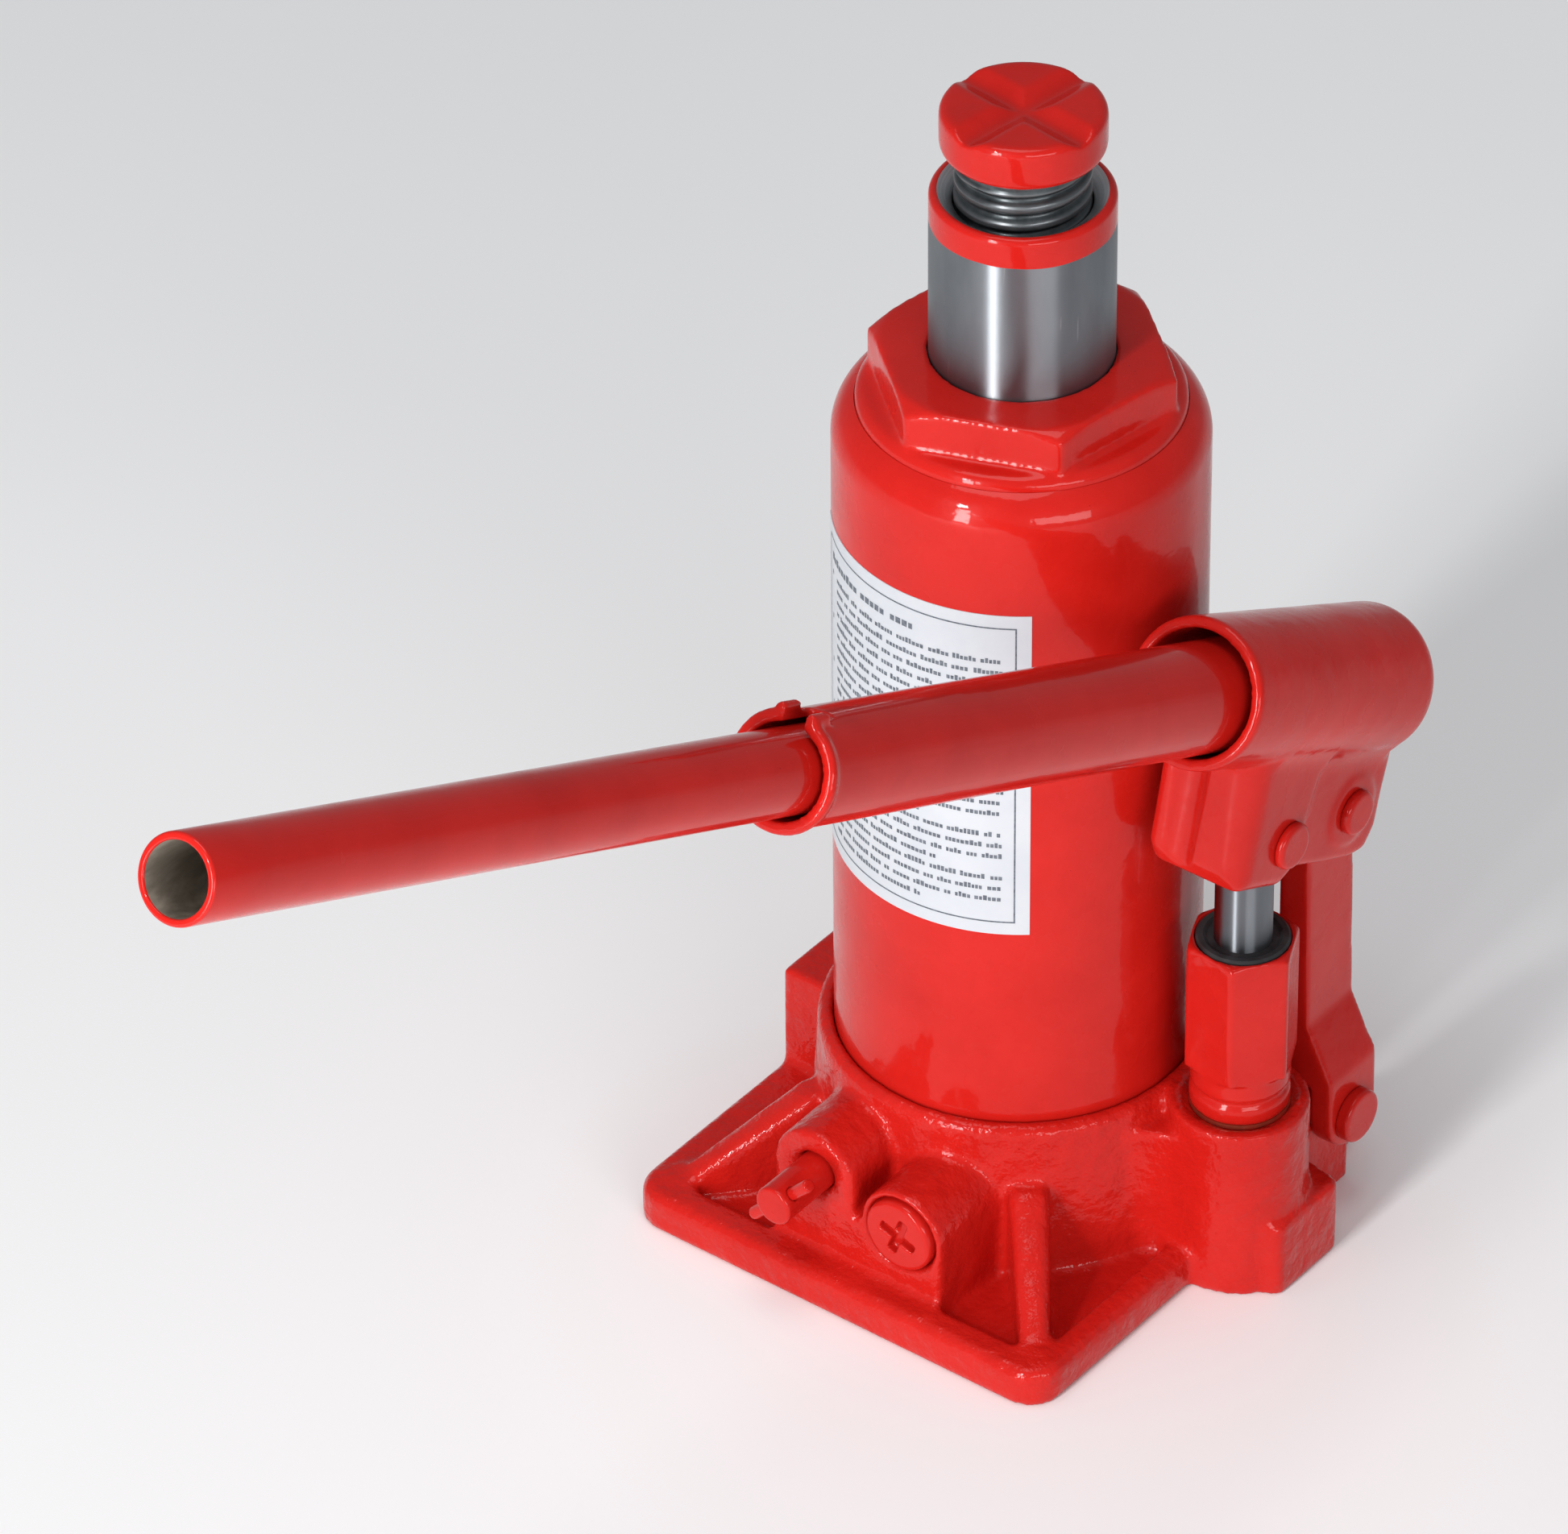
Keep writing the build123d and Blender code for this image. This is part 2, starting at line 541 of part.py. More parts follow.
def extension_screw():
    """Neck under the saddle, then a coarse thread drawn as rings one pitch apart."""
    neck_r = SCREW_CREST_R - 0.5
    neck_bottom = SADDLE_BOTTOM - SCREW_NECK_L
    thread_bottom = SCREW_BOTTOM + SCREW_TAIL_L
    groove_bottom = SCREW_BOTTOM + 2.5
    turns = int((neck_bottom - thread_bottom) / SCREW_PITCH)
    outline = [(0, SADDLE_BOTTOM), (neck_r, SADDLE_BOTTOM), (neck_r, neck_bottom)]
    for turn in range(turns):
        top = neck_bottom - turn * SCREW_PITCH
        outline += [(SCREW_ROOT_R, top - 0.3 * SCREW_PITCH), (SCREW_ROOT_R, top - 0.45 * SCREW_PITCH),
                    (SCREW_CREST_R, top - 0.7 * SCREW_PITCH), (SCREW_CREST_R, top - SCREW_PITCH)]
    outline += [(SCREW_TAIL_R, thread_bottom), (SCREW_TAIL_R, groove_bottom), (SCREW_ROOT_R, groove_bottom),
                (SCREW_ROOT_R, SCREW_BOTTOM), (0, SCREW_BOTTOM)]
    return turned(outline) + cyl_z(SPIGOT_R, SADDLE_BOTTOM, SADDLE_BOTTOM + SPIGOT_L)


def screw_stop_ring():
    low = SCREW_BOTTOM + 2.7
    return ring_z(RAM_WIDE_R - 0.3, SCREW_TAIL_R + RUNNING, low, low + STOP_RING_T)


def saddle():
    body = cyl_z(SADDLE_R, SADDLE_BOTTOM, SADDLE_TOP)
    body = fillet(body.edges().group_by(Axis.Z)[0], SADDLE_FOOT_ROUND)
    body = fillet(body.edges().group_by(Axis.Z)[-1], SADDLE_TOP_ROUND)
    half = SADDLE_GROOVE_W / 2
    vee = Plane.XZ * make_face(Polyline(
        (-half - 0.2, SADDLE_TOP + 0.1), (-0.8, SADDLE_TOP - SADDLE_GROOVE_DEPTH),
        (0.8, SADDLE_TOP - SADDLE_GROOVE_DEPTH), (half + 0.2, SADDLE_TOP + 0.1), close=True))
    groove = extrude(vee, 2 * SADDLE_R, both=True)
    for turn in (SADDLE_TURN, SADDLE_TURN + 90):
        body -= Rot(0, 0, turn) * groove
    return body - cyl_z(SPIGOT_R + SNUG, SADDLE_BOTTOM - 1, SADDLE_BOTTOM + SPIGOT_L)


# ---- Pump ---------------------------------------------------------------------------------------
def pump_cylinder():
    body = rounded_hex(PUMP_HEX_R, PUMP_HEX_BOTTOM, PUMP_TOP, PUMP_TURN, PUMP_HEX_CHAMFER, PUMP_X, PUMP_Y)
    gasket_top = PUMP_BOSS_TOP - PUMP_RECESS_T + GASKET_T
    groove_r = PUMP_NECK_R - PUMP_GROOVE_DEPTH
    low, high = PUMP_GROOVE_Z
    shank = turned([
        (0, PUMP_SHANK_BOTTOM), (PUMP_SHANK_R - 0.8, PUMP_SHANK_BOTTOM),
        (PUMP_SHANK_R, PUMP_SHANK_BOTTOM + 0.8), (PUMP_SHANK_R, gasket_top), (PUMP_NECK_R, gasket_top),
        (PUMP_NECK_R, low - 0.6), (groove_r, low), (groove_r, high), (PUMP_NECK_R, high + 0.6),
        (PUMP_NECK_R, PUMP_HEX_BOTTOM), (0, PUMP_HEX_BOTTOM)])
    body += Pos(PUMP_X, PUMP_Y, 0) * shank
    body -= cyl_z(PLUNGER_R + RUNNING, PUMP_SHANK_BOTTOM + 3, PUMP_TOP + 1, PUMP_X, PUMP_Y)
    body -= cyl_z(OIL_WAY_R, PUMP_SHANK_BOTTOM - 1, PUMP_SHANK_BOTTOM + 4, PUMP_X, PUMP_Y)
    return body - cyl_z(PUMP_SEAL_R, PUMP_TOP - PUMP_SEAL_T, PUMP_TOP + 1, PUMP_X, PUMP_Y)


def pump_wiper_seal():
    rim = PUMP_SEAL_R - RUNNING
    low = PUMP_TOP - PUMP_SEAL_T
    return Pos(PUMP_X, PUMP_Y, 0) * turned([
        (PLUNGER_R + RUNNING, low), (rim, low), (rim, PUMP_TOP), (rim - 0.5, PUMP_TOP + 0.4),
        (rim - 1.6, PUMP_TOP + 0.4), (rim - 2.4, PUMP_TOP - 0.2), (PLUNGER_R + RUNNING, PUMP_TOP - 0.2)])


def plunger_pin_place():
    """World Y and Z of the plunger pin, from its place in the handle socket."""
    along, up = PLUNGER_PIN_LOCAL
    tilt = radians(SOCKET_TILT)
    y = UPPER_PIN[0] - along * cos(tilt) + up * sin(tilt)
    z = UPPER_PIN[1] + along * sin(tilt) + up * cos(tilt)
    return y, z


def pump_plunger():
    """The plunger rod, flattened at the top into a tongue for its pin, with a seal spigot below."""
    pin_z = plunger_pin_place()[1]
    rod = cyl_z(PLUNGER_R, PLUNGER_BOTTOM, pin_z, PUMP_X, PUMP_Y)
    rod += cyl_x(PLUNGER_R, PUMP_X - TONGUE_HALF_X, PUMP_X + TONGUE_HALF_X, PUMP_Y, pin_z)
    flat = block(TONGUE_HALF_X, 9, -9, 9, pin_z - 7.5, pin_z + 9)
    rod -= Pos(PUMP_X, PUMP_Y, 0) * flat
    rod -= Pos(PUMP_X, PUMP_Y, 0) * mirror(flat, Plane.YZ)
    rod -= cyl_x(PLUNGER_PIN_R + RUNNING, PUMP_X - 9, PUMP_X + 9, PUMP_Y, pin_z)
    return rod + cyl_z(PLUNGER_SPIGOT_R, PLUNGER_BOTTOM - 5, PLUNGER_BOTTOM, PUMP_X, PUMP_Y)


def plunger_cup_seal():
    low = PLUNGER_BOTTOM - 4.5
    return ring_z(PLUNGER_R, PLUNGER_SPIGOT_R, low, PLUNGER_BOTTOM - 0.2, PUMP_X, PUMP_Y)


# ---- Pump linkage and handle socket -------------------------------------------------------------
def link_arm():
    """A forged bar with a plain tongue at the top and a fork at the bottom, astride the base lug.

    Drawn upright from its lower pin, then leant to meet the upper pin. The upper eye is slotted.
    """
    dy = UPPER_PIN[0] - LOWER_PIN[0]
    dz = UPPER_PIN[1] - LOWER_PIN[1]
    length = hypot(dy, dz)
    lean = degrees(atan2(-dy, dz))
    half = LINK_T / 2
    front = make_face(Polyline(
        (-half, length + LINK_HALF_W), (-half, FORK_WAIST_Z), (-FORK_HALF_X, FORK_SHOULDER_Z),
        (-FORK_HALF_X, -LINK_HALF_W), (FORK_HALF_X, -LINK_HALF_W), (FORK_HALF_X, FORK_SHOULDER_Z),
        (half, FORK_WAIST_Z), (half, length + LINK_HALF_W), close=True))
    bar = extrude(Plane.XZ * front, 2 * LINK_HALF_W, both=True)
    front_y = LINK_SET_BACK - LINK_HALF_W
    rear_y = LINK_SET_BACK + LINK_HALF_W
    eye_z = length + EYE_RISE
    eye_y = (EYE_SHIFTS[0] + EYE_SHIFTS[-1]) / 2
    side = cyl_x(LINK_HALF_W, -FORK_HALF_X, FORK_HALF_X, LINK_SET_BACK, 0)
    side += block(-FORK_HALF_X, FORK_HALF_X, front_y, rear_y, 0, length - 8)
    side += cyl_x(EYE_END_R, -half, half, eye_y, eye_z)
    side += block(-half, half, front_y, eye_y + EYE_END_R, length - 9, length)
    bar = bar & side
    gap_half = LUG_T / 2 + FORK_PLAY
    bar -= block(-gap_half, gap_half, -20, 20, -20, LUG_R + 3 * FORK_PLAY)
    bar -= cyl_x(LOWER_PIN_R + SNUG, -20, 20)
    eye_r = UPPER_PIN_R + EYE_PLAY
    for shift in EYE_SHIFTS:
        bar -= cyl_x(eye_r, -20, 20, shift, eye_z)
    bar -= block(-20, 20, EYE_SHIFTS[-1], EYE_SHIFTS[0], eye_z - eye_r, eye_z + eye_r)
    return Pos(PUMP_X, *LOWER_PIN) * Rot(lean, 0, 0) * bar


def link_lower_pin():
    """The headed pin of the fork, grooved at its far end for the clip."""
    y, z = LOWER_PIN
    pin = cyl_x(LOWER_PIN_R, PUMP_X - FORK_HALF_X - 3, PUMP_X + FORK_HALF_X, y, z)
    head = cyl_x(LOWER_HEAD_R, PUMP_X + FORK_HALF_X, PUMP_X + FORK_HALF_X + LOWER_HEAD_T, y, z)
    pin += fillet(head.edges().group_by(Axis.X)[-1], 0.9)
    groove_x = PUMP_X - FORK_HALF_X - 1.6
    groove = cyl_x(LOWER_PIN_R + 1, groove_x, groove_x + 1.2, y, z)
    return pin - (groove - cyl_x(CLIP_BORE_R - RUNNING, groove_x, groove_x + 1.2, y, z))


def link_pin_clip():
    y, z = LOWER_PIN
    clip_x = PUMP_X - FORK_HALF_X - 1.5
    clip = cyl_x(CLIP_R, clip_x, clip_x + 1.0, y, z) - cyl_x(CLIP_BORE_R, clip_x - 1, clip_x + 2, y, z)
    return clip - block(clip_x - 1, clip_x + 2, y - 2.2, y + 2.2, z - CLIP_R - 2, z)


def rivet(pin_r, head_r, x0, x1, along, up):
    """A riveted hinge pin with domed heads outside x0 and x1, in socket coordinates."""
    pin = cyl_x(pin_r, x0, x1, -along, up)
    head = cyl_x(head_r, 0, RIVET_HEAD_T, -along, up)
    head = fillet(head.edges().group_by(Axis.X)[-1], 1.1)
    return pin + Pos(x1, 0, 0) * head + Pos(x0, 0, 0) * mirror(head, Plane.YZ)


def upper_pins():
    reach = CHEEK_HALF_X + LINK_BOSS_T
    link_pin = rivet(UPPER_PIN_R, UPPER_HEAD_R, -reach, reach, 0, 0)
    plunger_pin = rivet(PLUNGER_PIN_R, PLUNGER_HEAD_R, BOX_INNER_X, BOX_HALF_X, *PLUNGER_PIN_LOCAL)
    return in_socket(link_pin), in_socket(plunger_pin)


def in_socket(shape):
    """Move a shape from socket coordinates, where the handle runs along -Y, to its place."""
    return Pos(PUMP_X, *UPPER_PIN) * Rot(-SOCKET_TILT, 0, 0) * shape


def socket_outline(points, x0, x1, corner, side):
    """A prism across the socket from an outline of (along, up) points, with rounded corners and sides."""
    face = Plane.YZ * make_face(Polyline(*[(-along, up) for along, up in points], close=True))
    prism = Pos(x0, 0, 0) * extrude(face, x1 - x0)
    prism = round_edges(prism, prism.edges().filter_by(Axis.X), corner)
    for end in (0, -1):
        prism = round_edges(prism, prism.faces().sort_by(Axis.X)[end].edges(), side)
    return prism


def socket_hollows(roof):
    """The space between the cheeks, open below and behind, with a wider bay for the plunger."""
    half = LINK_T / 2 + LINK_PLAY
    hollow = block(-half, half, -CHEEK_STEP - 4, 20, -30, roof)
    bay = Plane.YZ * make_face(Polyline(
        (-11, roof), (-11, -3), (-3, -12), (-3, -30), (-34, -30), (-34, roof), close=True))
    return hollow + extrude(bay, PLUNGER_R + PLUNGER_PLAY, both=True)


def on_box_front(shape):
    """Stand a shape on the toe of the box, leant with its front face."""
    rise = SOCKET_AXIS_N - SOCKET_R - BOX_BOTTOM_N
    lean = degrees(atan2(BOX_BROW - BOX_TOE, rise))
    return Pos(0, -BOX_TOE, BOX_BOTTOM_N) * Rot(lean, 0, 0) * shape


def box_envelope():
    """Everything behind the front face of the box, with one well-rounded upright corner."""
    envelope = block(BOX_INNER_X - 1, BOX_HALF_X, 0, 60, -20, 60)
    corner = envelope.edges().filter_by(Axis.Z).sort_by(lambda e: e.center().X - e.center().Y)[-1:]
    return on_box_front(fillet(corner, BOX_CORNER_R))


def socket_valley():
    """A shallow hollow down the leaning front of the box."""
    groove = cyl_z(VALLEY_R, -10, SOCKET_AXIS_N - SOCKET_R - BOX_BOTTOM_N + 2)
    return on_box_front(Pos(VALLEY_X, -VALLEY_R * 0.5, 0) * groove)


def seam_fill(half, along_0, along_1):
    """Concave fillets that carry flat sides, half a width either way, up into the round of the tube."""
    reach = SOCKET_R + SEAM_R
    x = half + SEAM_R
    drop = sqrt(reach ** 2 - x ** 2)
    x_tube = x * SOCKET_R / reach
    up_tube = SOCKET_AXIS_N - drop * SOCKET_R / reach
    up = SOCKET_AXIS_N - drop
    section = make_face(Polyline((-half, up), (half, up), (x_tube, up_tube), (-x_tube, up_tube), close=True))
    for side in (-1, 1):
        section -= Pos(side * x, up) * Circle(SEAM_R)
    return Pos(0, -along_0, 0) * extrude(Plane.XZ * section, along_1 - along_0)


def handle_socket():
    tube = cyl_y(SOCKET_R, -SOCKET_FRONT, -SOCKET_REAR, 0, SOCKET_AXIS_N)
    tube = fillet(tube.edges().group_by(Axis.Y)[-1], SOCKET_END_ROUND)
    tube = fillet(tube.edges().group_by(Axis.Y)[0], SOCKET_MOUTH_ROUND)
    wall_top = SOCKET_AXIS_N - 6
    front_box = socket_outline(
        [(CHEEK_STEP, wall_top), (CHEEK_STEP, -12), (CHEEK_STEP + 4, BOX_BOTTOM_N + 0.6),
         (BOX_TOE - 3.5, BOX_BOTTOM_N), (BOX_TOE, BOX_BOTTOM_N + 3.5), (BOX_BROW, SOCKET_AXIS_N - SOCKET_R),
         (BOX_BROW, wall_top)], BOX_INNER_X, BOX_HALF_X, 2.5, 3.2) & box_envelope()
    cheeks = socket_outline(
        [(SOCKET_REAR + 1, wall_top), (SOCKET_REAR - 1, 4), (SOCKET_REAR - 2.6, -4), (SOCKET_REAR - 1, -9.5),
         (-6, -11), (4, -11.6), (CHEEK_STEP + 2, -12), (CHEEK_STEP + 2, wall_top)],
        -CHEEK_HALF_X, CHEEK_HALF_X, 2.0, 1.2)
    link_boss = cyl_x(LINK_BOSS_R, -CHEEK_HALF_X - LINK_BOSS_T, CHEEK_HALF_X + LINK_BOSS_T)
    body = tube + front_box + cheeks + link_boss
    body += seam_fill(BOX_HALF_X, CHEEK_STEP, BOX_BROW - BOX_CORNER_R)
    body += seam_fill(CHEEK_HALF_X, SOCKET_REAR + 3, CHEEK_STEP)
    body -= socket_hollows(SOCKET_AXIS_N - SOCKET_R)
    body -= cyl_y(SOCKET_BORE_R, -SOCKET_FRONT - 1, -SOCKET_BORE_END, 0, SOCKET_AXIS_N)
    body -= socket_valley()
    body -= cyl_x(UPPER_PIN_R + SNUG, -20, 20)
    along, up = PLUNGER_PIN_LOCAL
    body -= cyl_x(PLUNGER_PIN_R + SNUG, -20, 20, -along, up)
    return in_socket(body)


# ---- Handle tubes -------------------------------------------------------------------------------
def on_handle(shape):
    """Move a shape from handle coordinates, with its axis along -Y from the socket pin, to its place."""
    tilt = radians(SOCKET_TILT)
    up = SOCKET_AXIS_N + HANDLE_LIFT
    y = UPPER_PIN[0] - HANDLE_CROSS * cos(tilt) + up * sin(tilt)
    z = UPPER_PIN[1] + HANDLE_CROSS * sin(tilt) + up * cos(tilt)
    return Pos(PUMP_X, y, z) * Rot(-HANDLE_TILT, 0, 0) * Pos(0, HANDLE_CROSS, 0) * shape


def handle_lower_tube():
    """The wide tube, with a rolled lip, a notch with curled ears at its mouth, and a crimp as the stop."""
    inner_r = LOWER_TUBE_R - LOWER_TUBE_WALL
    mouth_y = -LOWER_TUBE_FRONT
    tube = cyl_y(LOWER_TUBE_R, mouth_y, -LOWER_TUBE_REAR)
    tube = fillet(tube.edges(), TUBE_LIP_ROUND)
    lip = cyl_y(MOUTH_LIP_R, mouth_y, mouth_y + MOUTH_LIP_L)
    tube += fillet(lip.edges(), MOUTH_LIP_L * 0.4)
    for side in (-1, 1):
        tube += cyl_y(EAR_R, mouth_y, mouth_y + EAR_L, side * (NOTCH_W / 2 + EAR_R * 0.6), LOWER_TUBE_R)
    tube -= cyl_y(inner_r, mouth_y - 1, -LOWER_TUBE_REAR + 1)
    crimp_y = -UPPER_TUBE_REAR + 3.5
    crimp = cyl_y(inner_r + 0.5, crimp_y - 3, crimp_y + 3)
    tube += crimp - cyl_y(inner_r - CRIMP_DEPTH, crimp_y - 4, crimp_y + 4)
    tube -= block(-NOTCH_W / 2, NOTCH_W / 2, mouth_y - 1, mouth_y + NOTCH_L, 0, 20)
    return on_handle(tube)


def handle_upper_tube():
    tube = cyl_y(UPPER_TUBE_R, -UPPER_TUBE_FRONT, -UPPER_TUBE_REAR)
    tube = fillet(tube.edges(), TUBE_LIP_ROUND)
    return on_handle(tube - cyl_y(UPPER_TUBE_R - UPPER_TUBE_WALL, -UPPER_TUBE_FRONT - 1, 0))


# ---- Valves -------------------------------------------------------------------------------------
def release_valve_stem():
    seal_front, seal_back = RELEASE_GROOVE_Y
    tip = cyl_y(RELEASE_R, RELEASE_TIP_Y, seal_front, RELEASE_X, RELEASE_Z)
    tip = fillet(tip.edges().group_by(Axis.Y)[0], 0.7)
    stem = tip + cyl_y(RELEASE_GROOVE_R, seal_front, seal_back, RELEASE_X, RELEASE_Z)
    stem += cyl_y(RELEASE_R - 0.5, seal_back, RELEASE_END_Y, RELEASE_X, RELEASE_Z)
    return stem - at_cross_pin(cyl_x(CROSS_PIN_R + SNUG, -10, 10))


def at_cross_pin(shape):
    """Move a shape drawn along X through the origin to the release valve's cross hole."""
    return Pos(RELEASE_X, CROSS_PIN_Y, RELEASE_Z) * Rot(0, -CROSS_PIN_TURN, 0) * shape


def release_cross_pin():
    pin = cyl_x(CROSS_PIN_R, -CROSS_PIN_L / 2, CROSS_PIN_L / 2)
    return at_cross_pin(fillet(pin.edges(), 0.4))


def release_o_ring():
    front, back = RELEASE_GROOVE_Y
    ring = cyl_y(RELEASE_R, front + 0.1, back - 0.1, RELEASE_X, RELEASE_Z)
    return ring - cyl_y(RELEASE_GROOVE_R + RUNNING, front - 1, back + 1, RELEASE_X, RELEASE_Z)


def relief_plug():
    """A round countersunk screw plug with a cross recess, level with the front face of its boss."""
    face_y = FRONT_FACE_Y - RELIEF_PLUG_PROUD
    head = cyl_y(RELIEF_PLUG_R, face_y, FRONT_FACE_Y + 2.9, RELIEF_X, RELIEF_Z)
    plug = fillet(head.edges().group_by(Axis.Y)[0], 1.1)
    plug += cyl_y(PLUG_THREAD_R, FRONT_FACE_Y + 2.9, PLUG_THREAD_END_Y - 1, RELIEF_X, RELIEF_Z)
    half_l = CROSS_SLOT_L / 2
    half_w = CROSS_SLOT_W / 2
    recess = block(-half_l, half_l, -4, CROSS_SLOT_DEPTH, -half_w, half_w)
    for turn in (CROSS_SLOT_TURN, CROSS_SLOT_TURN + 90):
        plug -= Pos(RELIEF_X, face_y, RELIEF_Z) * Rot(0, turn, 0) * recess
    return plug


def valve_balls():
    release = Pos(RELEASE_X, VALVE_SEAT_Y - BALL_SEAT_GAP, RELEASE_Z) * Sphere(BALL_R)
    relief = Pos(RELIEF_X, VALVE_SEAT_Y - BALL_SEAT_GAP, RELIEF_Z) * Sphere(BALL_R)
    suction = Pos(PUMP_X, PUMP_Y, SUCTION_SEAT_Z + BALL_SEAT_GAP) * Sphere(BALL_R)
    delivery = Pos(PUMP_X - DELIVERY_BALL_BACK, PUMP_Y, OIL_WAY_Z) * Sphere(BALL_R)
    return release, relief, suction, delivery


def valve_springs():
    relief_back = VALVE_SEAT_Y - BALL_SEAT_GAP - BALL_R - SPRING_GAP
    relief = Pos(RELIEF_X, relief_back, RELIEF_Z) * Rot(90, 0, 0) * coil_spring(2.2, 0.45, 6.2, 4)
    delivery_x = PUMP_X - DELIVERY_BALL_BACK - BALL_R - SPRING_GAP
    length = delivery_x - DELIVERY_SEAT_X - SPRING_GAP
    delivery = Pos(delivery_x, PUMP_Y, OIL_WAY_Z) * Rot(0, -90, 0) * coil_spring(2.4, 0.4, length, 5)
    return relief, delivery


def build_parts():
    wiper, seal = top_seals()
    top_gasket, bottom_gasket, cylinder_gasket, pump_gasket = gaskets()
    release_ball, relief_ball, suction_ball, delivery_ball = valve_balls()
    relief_spring, delivery_spring = valve_springs()
    link_pin, plunger_pin = upper_pins()
    return {
        "base_casting": base_casting(),
        "reservoir_tube": reservoir_tube(),
        "cylinder_tube": cylinder_tube(),
        "top_nut": top_nut(),
        "rod_wiper_seal": wiper,
        "rod_seal": seal,
        "reservoir_top_gasket": top_gasket,
        "reservoir_bottom_gasket": bottom_gasket,
        "cylinder_gasket": cylinder_gasket,
        "instruction_label": instruction_label(),
        "filler_plug": filler_plug(),
        "ram_tube": ram_tube(),
        "ram_piston": ram_piston(),
        "piston_cup_seal": piston_cup_seal(),
        "piston_retaining_ring": piston_retaining_ring(),
        "extension_screw": extension_screw(),
        "screw_stop_ring": screw_stop_ring(),
        "saddle": saddle(),
        "pump_cylinder": pump_cylinder(),
        "pump_gasket": pump_gasket,
        "pump_wiper_seal": pump_wiper_seal(),
        "pump_plunger": pump_plunger(),
        "plunger_cup_seal": plunger_cup_seal(),
        "link_arm": link_arm(),
        "link_lower_pin": link_lower_pin(),
        "link_pin_clip": link_pin_clip(),
        "link_upper_pin": link_pin,
        "plunger_pin": plunger_pin,
        "handle_socket": handle_socket(),
        "handle_lower_tube": handle_lower_tube(),
        "handle_upper_tube": handle_upper_tube(),
        "release_valve_stem": release_valve_stem(),
        "release_cross_pin": release_cross_pin(),
        "release_o_ring": release_o_ring(),
        "release_ball": release_ball,
        "relief_plug": relief_plug(),
        "relief_ball": relief_ball,
        "relief_spring": relief_spring,
        "suction_ball": suction_ball,
        "delivery_ball": delivery_ball,
        "delivery_spring": delivery_spring,
    }


def main():
    os.makedirs("parts", exist_ok=True)
    for node, shape in build_parts().items():
        export_step(shape, f"parts/{node}.step")


main()
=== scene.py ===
"""Looks of a hydraulic bottle jack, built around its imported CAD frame.

Lengths are in metres in the row frame: +Z up, the ram on the Z axis, the handle towards -Y.
"""

import json
import math
import random

import bmesh
import bpy
from mathutils import Matrix, Vector, noise


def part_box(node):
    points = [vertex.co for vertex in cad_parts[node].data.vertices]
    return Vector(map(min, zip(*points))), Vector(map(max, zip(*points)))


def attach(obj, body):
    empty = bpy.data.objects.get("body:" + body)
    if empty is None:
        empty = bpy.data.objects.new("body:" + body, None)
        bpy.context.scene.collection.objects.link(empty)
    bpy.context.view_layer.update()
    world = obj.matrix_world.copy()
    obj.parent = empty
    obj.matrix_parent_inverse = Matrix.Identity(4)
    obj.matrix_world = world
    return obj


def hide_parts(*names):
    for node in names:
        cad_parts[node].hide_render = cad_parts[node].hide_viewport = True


MM = 0.001
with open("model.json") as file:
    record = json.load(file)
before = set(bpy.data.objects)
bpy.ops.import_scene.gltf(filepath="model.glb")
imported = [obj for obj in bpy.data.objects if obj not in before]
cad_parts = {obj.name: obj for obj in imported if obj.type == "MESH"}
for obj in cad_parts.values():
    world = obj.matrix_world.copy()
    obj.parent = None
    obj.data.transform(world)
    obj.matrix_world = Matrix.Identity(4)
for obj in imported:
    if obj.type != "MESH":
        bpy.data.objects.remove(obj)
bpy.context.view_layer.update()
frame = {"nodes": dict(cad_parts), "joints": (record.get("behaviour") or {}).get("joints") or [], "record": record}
nodes = frame["nodes"]
joints = {joint["name"]: joint for joint in frame["joints"]}


# ---- Mesh helpers -------------------------------------------------------------------------------
def add_object(name, mesh, body, materials, replaced=()):
    """Put a finished mesh in the scene, on its body and the CAD nodes it stands for."""
    piece = bpy.data.objects.new(name, mesh)
    bpy.context.scene.collection.objects.link(piece)
    if mesh.materials:
        mesh.materials.clear()
    for material in materials:
        mesh.materials.append(material)
    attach(piece, body)
    if replaced:
        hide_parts(*replaced)
    return piece


def mesh_from(verts, faces, name, smooth=True):
    mesh = bpy.data.meshes.new(name)
    mesh.from_pydata(verts, [], faces)
    mesh.validate()
    mesh.update()
    for polygon in mesh.polygons:
        polygon.use_smooth = smooth
    return mesh


def evaluated(piece, name):
    """The mesh of an object with its modifiers applied."""
    graph = bpy.context.evaluated_depsgraph_get()
    graph.update()
    mesh = bpy.data.meshes.new_from_object(piece.evaluated_get(graph))
    mesh.name = name
    return mesh


def soft_copy(node, name, voxel, rounds):
    """A CAD node's mesh, rebuilt in even quads with softened edges, as casting and paint leave it."""
    source = nodes[node].data.copy()
    work = bmesh.new()
    work.from_mesh(source)
    bmesh.ops.remove_doubles(work, verts=work.verts, dist=1e-6)
    work.to_mesh(source)
    work.free()
    scratch = bpy.data.objects.new(name + "_scratch", source)
    bpy.context.scene.collection.objects.link(scratch)
    remesh = scratch.modifiers.new("remesh", "REMESH")
    remesh.mode = "VOXEL"
    remesh.voxel_size = voxel
    remesh.use_smooth_shade = True
    smooth = scratch.modifiers.new("smooth", "SMOOTH")
    smooth.factor = 0.5
    smooth.iterations = rounds
    mesh = evaluated(scratch, name)
    bpy.data.objects.remove(scratch)
    for polygon in mesh.polygons:
        polygon.use_smooth = True
    return mesh


